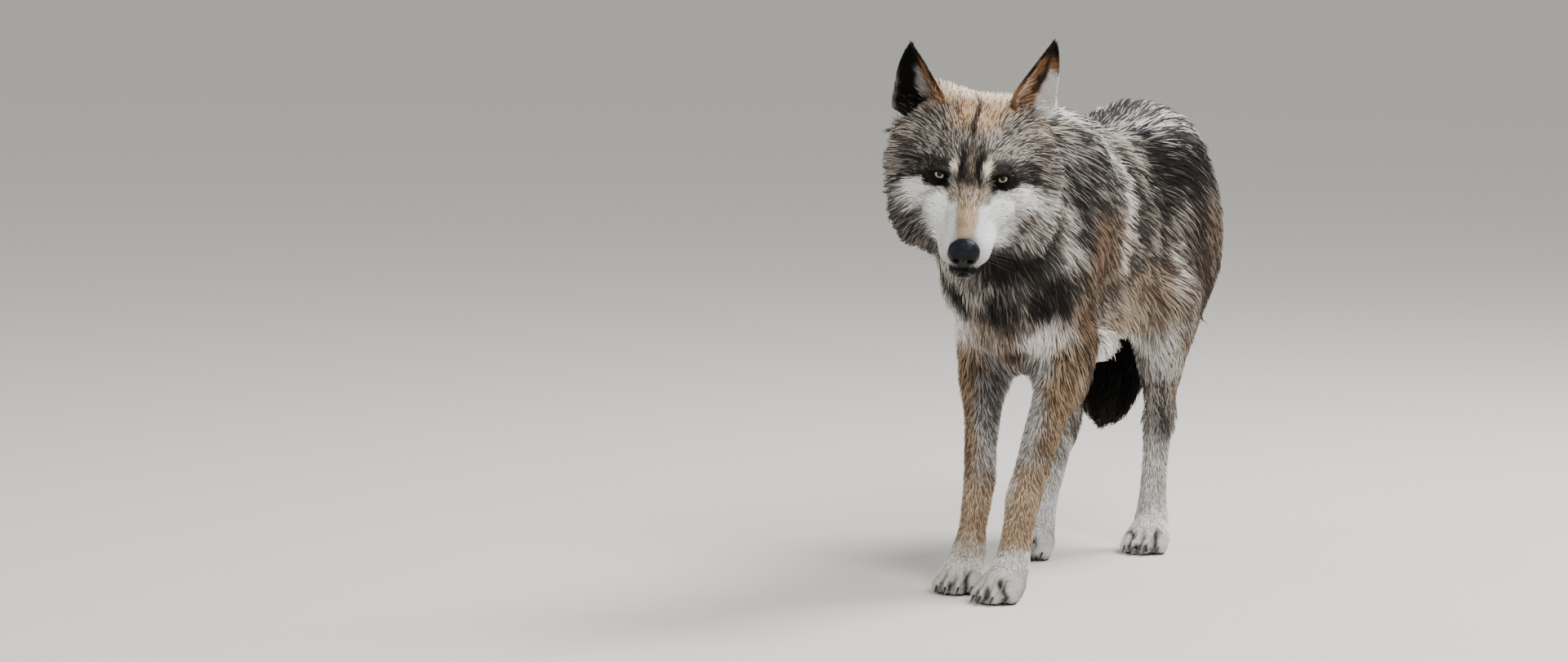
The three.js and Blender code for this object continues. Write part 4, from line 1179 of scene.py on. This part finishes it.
coatPieces = {  # the rows of coatPlan in each piece of the coat
    "coatBack": ("back", "withers"),
    "coatShoulder": ("shoulder", "upperArm"),
    "coatFlank": ("flank", "belly"),
    "coatRump": ("rump", "thigh", "lowerThigh"),
    "coatNeck": ("neck", "throat", "chest"),
    "coatLegs": ("foreleg", "shin", "pasternFront", "pasternHind"),
    "coatTail": ("tailTop", "tailEnd"),
    "coatPaws": ("pawFront", "pawHind"),
    "coatRuff": ("h ruff", "h lowerRuff", "h nape", "h jaw", "h earRoot"),
    "coatFace": (
        "h crown", "h forehead", "h brow", "h temple", "h cheek", "h underEye",
        "h stop", "h muzzle", "h lip", "h chin", "h noseEnd",
    ),
}


def nearestRow(plan, kind):
    head, body, onTail = folded(toHead(plan)), foldedBody(plan), tailShare(plan) > 0.5
    best, row = np.full(len(plan), 1e9), np.zeros(len(plan), dtype=int)
    for k, (name, at, size, *_) in enumerate(coatPlan):
        if name.startswith("h ") != (kind == "head") or name.startswith("paw") != (kind == "paw"):
            continue
        d = farFrom(head if kind == "head" else body, at, size)
        if kind == "body":
            d = np.where(onTail != name.startswith("tail"), np.inf, d)
        row[d < best] = k
        best = np.minimum(best, d)
    return row


# Bare places: the nose leather, and the eye openings with their black lid rims, in mm.
barePlan = {"nose": ((0, -255, -30), (21.5, 13, 24)), "eye": (12.2, 6.3), "eyeDrop": 1.0, "eyeBack": -6}


def rootsAllowed(plan):
    allowed = farFrom(toHead(plan), *barePlan["nose"]) > 1
    wide, high = barePlan["eye"]
    for side in (1, -1):
        x, y, z, *_ = eyeAxes(carry(planMatrix, plan), side)
        rim = np.hypot(x / wide, (y + barePlan["eyeDrop"]) / high)
        allowed &= ~((rim < 1) & (z > barePlan["eyeBack"]))
    return allowed


coverPlan = {
    "lengths": (0.72, 1.22), "widths": (0.8, 1.2), "rises": (0.55, 1.15), "raised": 0.4, "wander": 0.16,
    "eyeReach": (30, 24), "eyeFade": (0.6, 1.0), "eyeBack": -14,
    "eyeShort": 0.45, "eyeThin": 0.4,  # by how much the hair is shorter and thinner round the eyes
    "showAt": 0.55, "showLess": 0.85,  # marks are read this far along the hair, and less far by the eyes
    "gather": (0.04, 0.54), "gatherOver": (9, 46), "streak": (0.45, 0.35), "streakOver": (20, 40),
}


def closeToEyes(points):
    out = np.zeros(len(points))
    wide, high = coverPlan["eyeReach"]
    for side in (1, -1):
        x, y, z, *_ = eyeAxes(points, side)
        near = (1 - ramp(np.hypot(x / wide, y / high), *coverPlan["eyeFade"])) * (z > coverPlan["eyeBack"])
        out = np.maximum(out, near)
    return out


def coverBed(bed, kind):
    place, normal, uv = plant(bed, coatAt(toPlan(bed["middle"]))[:, 3])
    keep = rootsAllowed(toPlan(place))
    place, normal, uv = place[keep], normal[keep], uv[keep]
    plan = toPlan(place)
    count = len(plan)
    depth, length, width, _ = coatAt(plan).T
    byEye = closeToEyes(place)
    length = length * rng.uniform(*coverPlan["lengths"], count) * (1 - coverPlan["eyeShort"] * byEye)
    depth = depth * (1 - coverPlan["eyeThin"] * byEye)
    width = width * rng.uniform(*coverPlan["widths"], count)
    rise = depth * rng.uniform(*coverPlan["rises"], count) + coverPlan["raised"]
    # the mark lies where the tuft shows, not at its root
    along = length * coverPlan["showAt"] * (1 - coverPlan["showLess"] * byEye)
    pale, dark, share = paintAt(plan + lieNearEyes(place) * along[:, None])
    loose, tight = coverPlan["gather"]
    gather = loose + tight * ramp(length, *coverPlan["gatherOver"])
    grown = growTufts(skinTree, place, normal, length, rise, lieNearEyes, gather, coverPlan["wander"])
    least, more = coverPlan["streak"]
    strong = least + more * ramp(length, *coverPlan["streakOver"])
    colours = tuftColours(plan, lieNearEyes(place), pale, dark, share, strong)
    row = nearestRow(plan, kind)
    isLong, isFine = length > tuftPlan["longFrom"], length < tuftPlan["fineTo"]
    # the tufts of each kind, and how many triangles each of them takes
    chosen = {"long": (isLong, 16), "short": (~isLong & ~isFine, 10), "fine": (isFine, 4)}
    rowNames = [r[0] for r in coatPlan]
    for name, rows in coatPieces.items():
        member = np.isin(row, [rowNames.index(r) for r in rows])
        if not member.any():
            continue
        total = sum((member & which).sum() * triangles for which, triangles in chosen.values())
        pieces = int(total // tuftPlan["pieceLimit"]) + 1
        line = plan[:, 1] if kind == "body" else toHead(plan)[:, 0]
        order = np.argsort(np.where(member, line, 1e9))[: member.sum()]
        for number, chunk in enumerate(np.array_split(order, pieces), 1):
            parts = []
            for tuft, (which, _) in chosen.items():
                pick = chunk[which[chunk]]
                if len(pick):
                    mine = {key: values[pick] for key, values in grown.items()}
                    part = tuftPart(tuft, mine, width[pick], uv[pick], [c[pick] for c in colours])
                    parts.append((part, tuftPlan[tuft]["ownShade"]))
            buildCoat(name + (str(number) if pieces > 1 else ""), parts)


coverBed(bodyBed, "body")
coverBed(pawBed, "paw")
coverBed(headBed, "head")
print("wolf: body and head covered", sum(coatCount.values()))

# Hair of the ears: length, width and rise in mm, and tufts to the square centimetre.
earHair = {"back": (9, 0.9, 1.6, 32), "front": (9.5, 0.85, 1.8, 34), "tuft": (17, 1.0, 5, 5)}
earCover = {
    "lengths": (0.7, 1.25), "widths": (0.8, 1.2), "rises": (0.5, 1.2), "gather": 0.25, "wander": 0.14,
    "ownShade": 0.4, "rootFrom": -14, "tuftPale": "#cfc6b9", "tuftSoft": {"left": 0.4, "right": 0.12},
    "tuftOut": 0.75, "tuftForward": 0.5, "together": 0.004,  # the lie of the hair in the ear's own frame
    "cupUp": (30, 62), "cupInner": (-0.6, 0.0), "cupRoot": (4, 26), "rootShare": 0.7,
    "tuftClear": 0.6, "streak": 0.5,
}


def coverEar(name):
    bed, side = earBeds[name], earPlan[name]["side"]
    tree = BVHTree.FromPolygons(bed["points"].tolist(), bed["corner"].tolist())
    toEar = earMatrix(name).inverted()
    turn = np.array(earMatrix(name).to_3x3())
    turn = turn / np.linalg.norm(turn, axis=0)
    parts = []
    for kind, (length, width, rise, closeness) in earHair.items():
        local = carry(toEar, bed["middle"])
        across = local[:, 0] / earHalf(np.clip(local[:, 2] / earPlan["height"], 0, 1)) * side
        want = np.full(len(local), float(closeness))
        if kind == "tuft":  # long hairs from the inner edge and the root of the cup
            up, inner, root = (earCover[key] for key in ("cupUp", "cupInner", "cupRoot"))
            edge = (1 - ramp(local[:, 2], *up)) * (1 - ramp(across, *inner))
            want *= edge + earCover["rootShare"] * (1 - ramp(local[:, 2], *root))
        place, normal, uv = plant(bed, want)
        local = carry(toEar, place)
        facing = -(normal @ turn[:, 1])
        keep = (facing < 0 if kind == "back" else facing >= 0) & (local[:, 2] > earCover["rootFrom"])
        place, normal, uv, local = place[keep], normal[keep], uv[keep], local[keep]
        count = len(place)

        def lie(points, kind=kind):
            here = carry(toEar, points)
            way = np.zeros((len(points), 3))
            way[:, 2] = 1
            way[:, 0] = -earCover["together"] * here[:, 0] * (here[:, 2] / earPlan["height"])
            if kind == "tuft":
                way[:, 0] += side * earCover["tuftOut"]
                way[:, 1] -= earCover["tuftForward"]
            return unit(way @ turn.T)

        size = length * rng.uniform(*earCover["lengths"], count)
        wide = width * rng.uniform(*earCover["widths"], count)
        high = rise * rng.uniform(*earCover["rises"], count)
        gather = np.full(count, earCover["gather"])
        grown = growTufts(tree, place, normal, size, high, lie, gather, earCover["wander"])
        pale, dark, share = earPaint(local, np.full(count, 0.0 if kind == "back" else 1.0), name)
        if kind == "tuft":
            soft = earCover["tuftSoft"][name]
            pale = pale + (linear(earCover["tuftPale"]) - pale) * soft
            share = share * (1 - earCover["tuftClear"] * soft)
        colours = tuftColours(toPlan(place), lie(place), pale, dark, share, earCover["streak"])
        part = tuftPart("short" if kind == "tuft" else "fine", grown, wide, uv, colours)
        parts.append((part, earCover["ownShade"]))
    buildCoat("coatEar" + name.capitalize(), parts)


for name in ears:
    coverEar(name)
print("wolf: ears covered", coatCount, sum(coatCount.values()))

# One skin over all the flesh.
skin = joined("skin", [bodySkin, pawSkin, *ears.values(), headSkin])
skin.data.materials.clear()
skin.data.materials.append(underfur)
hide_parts(*fleshNodes)
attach(skin, "root")

# Eye: wet cornea over an amber iris, so a smooth coat gives it its one sharp glint.
eyeball = newMaterial("wolfEye", {
    "Roughness": 0.5, "Specular IOR Level": 0.1,
    "Coat Weight": 0.22, "Coat Roughness": 0.03, "Coat IOR": 1.38,
})
irisRings = [  # share of the way from the pupil's centre to the back of the eye
    (0.0, "#020202"), (0.08, "#020202"), (0.09, "#4e4a3a"), (0.118, "#a5a28c"), (0.165, "#948c70"),
    (0.192, "#4f4632"), (0.208, "#120e09"), (0.23, "#060504"), (1.0, "#060504"),
]
fibreSize = {"Scale": 1.0, "Detail": 4, "Roughness": 0.6}
fibreShade = {"From Min": 0.3, "From Max": 0.7, "To Min": 0.55, "To Max": 1.35}
eyeMap = addNode(eyeball, "ShaderNodeUVMap", uv_map="UVMap")
apart = addNode(eyeball, "ShaderNodeSeparateXYZ", feeds={"Vector": (eyeMap, "UV")})
drawnOut = addNode(eyeball, "ShaderNodeMapping", {"Scale": (70, 9, 1)}, {"Vector": (eyeMap, "UV")})
fibres = addNode(eyeball, "ShaderNodeTexNoise", fibreSize, {"Vector": (drawnOut, "Vector")})
rings = addNode(eyeball, "ShaderNodeValToRGB", feeds={"Fac": (apart, "Y")})
for k, (at, hexColour) in enumerate(irisRings):
    stop = rings.color_ramp.elements[k] if k < 2 else rings.color_ramp.elements.new(at)
    stop.position = at
    stop.color = (*linear(hexColour), 1)
shade = addNode(eyeball, "ShaderNodeMapRange", fibreShade, {"Value": (fibres, "Fac")})
lit = {0: (rings, "Color"), 1: (shade, "Result")}
streaked = addNode(eyeball, "ShaderNodeVectorMath", feeds=lit, operation="MULTIPLY")
# lidShade is painted shade of the upper lid, multiplied into the iris colour
underLid = addNode(eyeball, "ShaderNodeAttribute", attribute_name="lidShade")
lit = {0: (streaked, "Vector"), 1: (underLid, "Fac")}
addNode(eyeball, "ShaderNodeVectorMath", feeds=lit, into=("Vector", "Base Color"), operation="MULTIPLY")


def makeEye(side, name, node):
    at, across, _, gaze = eyeFrame(side)
    count = eyePlan["segments"]
    bpy.ops.mesh.primitive_uv_sphere_add(segments=count, ring_count=count, radius=1)
    eye = bpy.context.object
    eye.name = name
    points = vertexArray(eye)
    away = np.degrees(np.arccos(np.clip(-points[:, 2], -1, 1)))
    bulge = 1 + eyePlan["bulge"] * (1 - ramp(away, 0, eyePlan["corneaEdge"]))
    points = points * (eyePlan["radius"] * bulge * mm)[:, None]
    setVertices(eye, points)
    turn = Matrix((across, gaze.cross(across), -gaze)).transposed().to_4x4()
    eye.matrix_world = Matrix.Translation(at) @ turn
    applyPlace(eye)
    bpy.ops.object.shade_smooth()
    # painted shade of the upper lid, darker above the eye's middle
    shaded = eye.data.attributes.new("lidShade", "FLOAT", "POINT")
    amount = eyePlan["shade"] * ramp(points[:, 1] / mm, eyePlan["shadeFrom"], eyePlan["shadeTo"])
    shaded.data.foreach_set("value", (1 - amount).astype(np.float32))
    eye.data.materials.append(eyeball)
    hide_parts(node)
    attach(eye, "root")


makeEye(1, "eyeLeft", "eye_left")
makeEye(-1, "eyeRight", "eye_right")

# Nose leather: damp, pebbled and nearly black, with a painted blue sheen on its top.
leather = newMaterial("wolfNoseLeather", {
    "Roughness": 0.42, "Specular IOR Level": 0.13, "Coat Weight": 0.04, "Coat Roughness": 0.3,
})
addNode(leather, "ShaderNodeAttribute", into=("Color", "Base Color"), attribute_name="coatColour")
onNose = addNode(leather, "ShaderNodeTexCoord")
pebbles = addNode(leather, "ShaderNodeTexVoronoi", {"Scale": 1 / (1.3 * mm)}, {"Vector": (onNose, "Object")})
grain, pebbled = {"Strength": 0.5, "Distance": 0.35 * mm}, {"Height": (pebbles, "Distance")}
addNode(leather, "ShaderNodeBump", grain, pebbled, ("Normal", "Normal"), invert=True)

nosePlan = {
    "voxel": 0.8, "rounds": 34, "settle": {"factor": 0.4, "iterations": 2},
    "dropFrom": -18, "drop": 1.62, "lower": 1.6,  # the leather runs down to the lip
    "chinBack": 8, "chinOver": (22, 62), "front": (250, 262),
    "nostril": (9.8, -35), "nostrilSize": (4.8, 4.2), "nostrilFade": (0.2, 1.25), "nostrilDepth": 7,
    "wing": 0.9, "wingAt": 1.6, "wingWidth": 0.6,  # the raised edge of the nostril
    "groove": 1.6, "grooveWidth": (0.2, 1.7), "grooveOver": (24, 32),
    "slit": 1.98, "slitWidth": (0.2, 2.0), "slitPlace": (12, -37), "slitSlope": 0.25,
    "slitOut": (10, 15), "slitForward": (244, 252),
    # top is a painted blue sheen on the upper leather, rest is the leather's own near black
    "top": "#0d121c", "rest": "#030303", "paintedSheenOver": (-30, -16),
}


def shapeNose(local):  # in the head's frame
    front = ramp(-local[:, 1], *nosePlan["front"])
    x, z = np.abs(local[:, 0]), local[:, 2]
    (atX, atZ), (wide, high) = nosePlan["nostril"], nosePlan["nostrilSize"]
    away = np.sqrt(((x - atX) / wide) ** 2 + ((z - atZ) / high) ** 2)
    dent = (1 - ramp(away, *nosePlan["nostrilFade"])) * front * nosePlan["nostrilDepth"]
    groove = (1 - ramp(x, *nosePlan["grooveWidth"])) * front
    groove = groove * ramp(-z, *nosePlan["grooveOver"]) * nosePlan["groove"]
    wing = (1 - ramp(np.abs(away - nosePlan["wingAt"]), 0, nosePlan["wingWidth"])) * front * nosePlan["wing"]
    slitX, slitZ = nosePlan["slitPlace"]
    slit = 1 - ramp(np.abs(z - slitZ + (x - slitX) * nosePlan["slitSlope"]), *nosePlan["slitWidth"])
    slit = slit * ramp(x, *nosePlan["slitOut"]) * ramp(-local[:, 1], *nosePlan["slitForward"])
    local[:, 1] += dent + groove - wing
    local[:, 0] -= np.sign(local[:, 0]) * slit * nosePlan["slit"]


nose = nodeCopies("nose")[0]
nose.name = nose.data.name = "noseLeather"
smoothSkin(nose, nosePlan["voxel"], nosePlan["rounds"])
local = toHead(toPlan(vertexArray(nose)))
z, start = local[:, 2], nosePlan["dropFrom"]
local[:, 2] = np.where(z < start, start + (z - start) * nosePlan["drop"], z) - nosePlan["lower"]
local[:, 1] += nosePlan["chinBack"] * ramp(-local[:, 2], *nosePlan["chinOver"])
shapeNose(local)
setVertices(nose, carry(headMatrix, local))
applyModifier(nose, "SMOOTH", **nosePlan["settle"])
bpy.ops.object.shade_smooth()
# painted sheen: the leather is lighter and bluer towards its top
light = ramp(local[:, 2], *nosePlan["paintedSheenOver"])[:, None]
colourAttribute(nose, linear(nosePlan["rest"]) * (1 - light) + linear(nosePlan["top"]) * light)
nose.data.materials.append(leather)
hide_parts("nose")
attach(nose, "root")


def tube(name, points, radius, matrix, taper):  # a round cord along a smooth curve, made a mesh
    curve = bpy.data.curves.new(name, "CURVE")
    curve.dimensions = "3D"
    curve.bevel_depth = radius * mm
    curve.bevel_resolution = 2
    curve.resolution_u = 6
    curve.use_fill_caps = True
    spline = curve.splines.new("NURBS")
    spline.points.add(len(points) - 1)
    for stop, p, thickness in zip(spline.points, points, taper):
        stop.co = (*(matrix @ Vector(p)), 1)
        stop.radius = thickness
    spline.use_endpoint_u = True
    spline.order_u = 3
    select(linked(name, curve))
    bpy.ops.object.convert(target="MESH")
    thing = bpy.context.object
    thing.data.materials.clear()
    return thing


# Lips: bare dark skin, a little moist.
lipSkin = newMaterial("wolfLipSkin", {"Base Color": "#0f0c0d", "Roughness": 0.6, "Specular IOR Level": 0.2})
lipPlan = {
    "line": [
        (0, -262, -60), (7, -255, -60), (14, -245, -61), (22, -230, -61),
        (29, -208, -59), (33, -184, -54), (36, -160, -48), (37, -146, -44),
    ],
    "radius": 1.8, "taper": [1, 1, 1.05, 1.05, 0.9, 0.7, 0.45, 0.1], "proud": 0.3,
}


def onSkin(point, out):  # the nearest place on the skin, so far out of it, both in the head's frame
    place, normal, _, _ = skinTree.find_nearest(headMatrix @ Vector(point))
    return headMatrix.inverted() @ (place + normal * out * mm)


lips = []
for side in (1, -1):
    path = [tuple(onSkin((side * x, y, z), lipPlan["proud"])) for x, y, z in lipPlan["line"]]
    lips.append(tube("lip", path, lipPlan["radius"], headMatrix, lipPlan["taper"]))
lips = joined("lips", lips)
bpy.ops.object.shade_smooth()
lips.data.materials.append(lipSkin)
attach(lips, "root")

# Claw horn: dark keratin, worn to a satin gloss.
horn = newMaterial("wolfClawHorn", {"Base Color": "#1c1815", "Roughness": 0.35, "Specular IOR Level": 0.5})
clawPlan = {
    "length": 19, "root": 3.1, "tip": 0.9, "hook": 3.5, "sides": 14, "cuts": 8,
    "flat": 0.86, "waist": 0.12, "waistRate": 3.1,
    "tilt": 112, "height": 11.5, "ahead": 6.5, "spread": 1.02, "floor": 0.2,
}


def makeClaws():
    length = clawPlan["length"]
    radii = {"radius1": clawPlan["root"] * mm, "radius2": clawPlan["tip"] * mm}
    bpy.ops.mesh.primitive_cone_add(vertices=clawPlan["sides"], depth=length * mm, **radii)
    model = bpy.context.object
    for k in range(1, clawPlan["cuts"]):
        height = (k / clawPlan["cuts"] - 0.5) * length * mm
        editWhole(model, bpy.ops.mesh.bisect, plane_co=(0, 0, height), plane_no=(0, 0, 1))
    x, y, z = (vertexArray(model) / mm).T
    along = 0.5 + z / length
    width = 1 - clawPlan["waist"] * np.sin(along * clawPlan["waistRate"])
    x, y = x * clawPlan["flat"] * width, y * width - clawPlan["hook"] * along ** 2
    setVertices(model, np.stack([x, y, z], -1) * mm)
    claws = []
    for paw, (_, turn, _) in paws.items():
        for across, reach in zip(toePlan["across"], toePlan["reach"]):
            claw = linked("claw", model.data.copy())
            forward = reach + clawPlan["ahead"] + length / 2
            at = onPaw(paw, across * clawPlan["spread"], forward, clawPlan["height"])
            claw.matrix_world = (
                Matrix.Translation(planMatrix @ Vector(at))
                @ Matrix.Rotation(math.radians(turn), 4, "Z")
                @ Matrix.Rotation(math.radians(clawPlan["tilt"]), 4, "X")
            )
            claws.append(applyPlace(claw))
    bpy.data.objects.remove(model)
    claws = joined("claws", claws)
    editWhole(claws, bpy.ops.mesh.normals_make_consistent, inside=False)
    bpy.ops.object.shade_smooth()
    claws.data.materials.append(horn)
    keepAbove(claws, clawPlan["floor"])
    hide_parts(*[f"claw_{paw}_{k}" for paw in paws for k in (1, 2, 3, 4)])
    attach(claws, "root")


makeClaws()

# Pads: bare, leathery soles that the paws stand on.
padLook = {"Base Color": "#2a2423", "Roughness": 0.7, "Specular IOR Level": 0.3}
padSkin = newMaterial("wolfPadLeather", padLook)
padPlan = {
    "heel": (21, 15, 6), "heelReach": 20, "heelSegments": 24,
    "toe": (7.4, 10.5, 4), "toeBack": 6, "spread": 0.96, "floor": 0.2,
}


def makePads():
    pads = []
    (heelWide, heelLong, heelHigh), (toeWide, toeLong, toeHigh) = padPlan["heel"], padPlan["toe"]
    for paw, (_, turn, scale) in paws.items():
        at = onPaw(paw, 0, padPlan["heelReach"], heelHigh)
        size = (heelWide * scale, heelLong, heelHigh)
        pads.append(ball("pad", planMatrix, at, size, 0, turn, padPlan["heelSegments"]))
        for across, reach in zip(toePlan["across"], toePlan["reach"]):
            at = onPaw(paw, across * padPlan["spread"], reach - padPlan["toeBack"], toeHigh)
            size = (toeWide * scale, toeLong, toeHigh)
            pads.append(ball("pad", planMatrix, at, size, 0, turn, toePlan["segments"]))
    pads = joined("pads", pads)
    keepAbove(pads, padPlan["floor"])
    bpy.ops.object.shade_smooth()
    pads.data.materials.append(padSkin)
    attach(pads, "root")


makePads()

# Whiskers: stiff black bristles in rows on the upper lip.
whiskerPlan = {
    "rows": (4, 4, 4, 3), "first": (19, -238, -30), "rowStep": (1.2, 2, -6), "step": (0.9, 8, 0),
    "out": (0.8, 0.25, -0.15), "outStep": (0.1, 0.3, 0), "outRow": (0, 0, -0.12), "swing": 0.1,
    "lengths": (34, 62), "sag": 0.14, "sweep": 0.16, "sunk": 2, "radius": 0.42, "taper": [1, 0.7, 0.12],
}
first, rowStep, step = (Vector(whiskerPlan[key]) for key in ("first", "rowStep", "step"))
out, outRow, outStep = (Vector(whiskerPlan[key]) for key in ("out", "outRow", "outStep"))
whiskers = []
for side in (1, -1):
    for row, count in enumerate(whiskerPlan["rows"]):
        for k in range(count):
            root = first + rowStep * row + step * k
            long = rng.uniform(*whiskerPlan["lengths"])
            swing = rng.uniform(-whiskerPlan["swing"], whiskerPlan["swing"])
            way = (out + outRow * row + outStep * k + Vector((0, swing, 0))).normalized()
            bend = Vector((0, long * whiskerPlan["sweep"], -long * whiskerPlan["sag"]))
            sunk = root - Vector((whiskerPlan["sunk"], 0, 0))
            path = [(side * x, y, z) for x, y, z in (sunk, root + way * long / 2, root + way * long + bend)]
            whiskers.append(tube("whisker", path, whiskerPlan["radius"], headMatrix, whiskerPlan["taper"]))
whiskers = joined("whiskers", whiskers)
bpy.ops.object.shade_smooth()
whiskers.data.materials.append(horn)
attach(whiskers, "root")
print("wolf: eyes, nose, lips, claws, pads and whiskers made")

# A plain pale floor, matt as painted board, and soft studio light.
floorLook = {"Base Color": "#e9e6e1", "Roughness": 0.8, "Specular IOR Level": 0.2}
floorSize = 240  # metres, so that it runs to the horizon
floorPaint = newMaterial("paleFloorPaint", floorLook)
bpy.ops.mesh.primitive_plane_add(size=floorSize)
floor = bpy.context.object
floor.name = "floor"
floor.data.materials.append(floorPaint)
floor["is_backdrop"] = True

lightPlan = {  # place in metres, size in metres, power in watts, aim height
    "keySoftbox": ((2.8, -3.0, 3.6), 2.2, 200, 0.45),
    "topSoftbox": ((1.6, 1.6, 3.6), 1.8, 200, 0.5),
    "fillSoftbox": ((-3.4, -3.6, 1.8), 3.2, 60, 0.4),
}
for name, (at, size, power, aim) in lightPlan.items():
    bpy.ops.object.light_add(type="AREA", location=at)
    light = bpy.context.object
    light.name = name
    light.data.shape = "DISK"
    light.data.size = size
    light.data.energy = power
    light.rotation_euler = (Vector((0, 0, aim)) - Vector(at)).to_track_quat("-Z", "Y").to_euler()
studioAir = {"colour": "#f2f1ee", "strength": 0.62}
world = bpy.data.worlds.new("studio")
bpy.context.scene.world = world
world.use_nodes = True
background = world.node_tree.nodes["Background"]
background.inputs["Color"].default_value = (*linear(studioAir["colour"]), 1)
background.inputs["Strength"].default_value = studioAir["strength"]

endLow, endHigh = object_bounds()
spans = [(high - low) / mm for low, high in ((startLow, startHigh), (endLow, endHigh))]
print("wolf: size", [[round(side) for side in span] for span in spans])
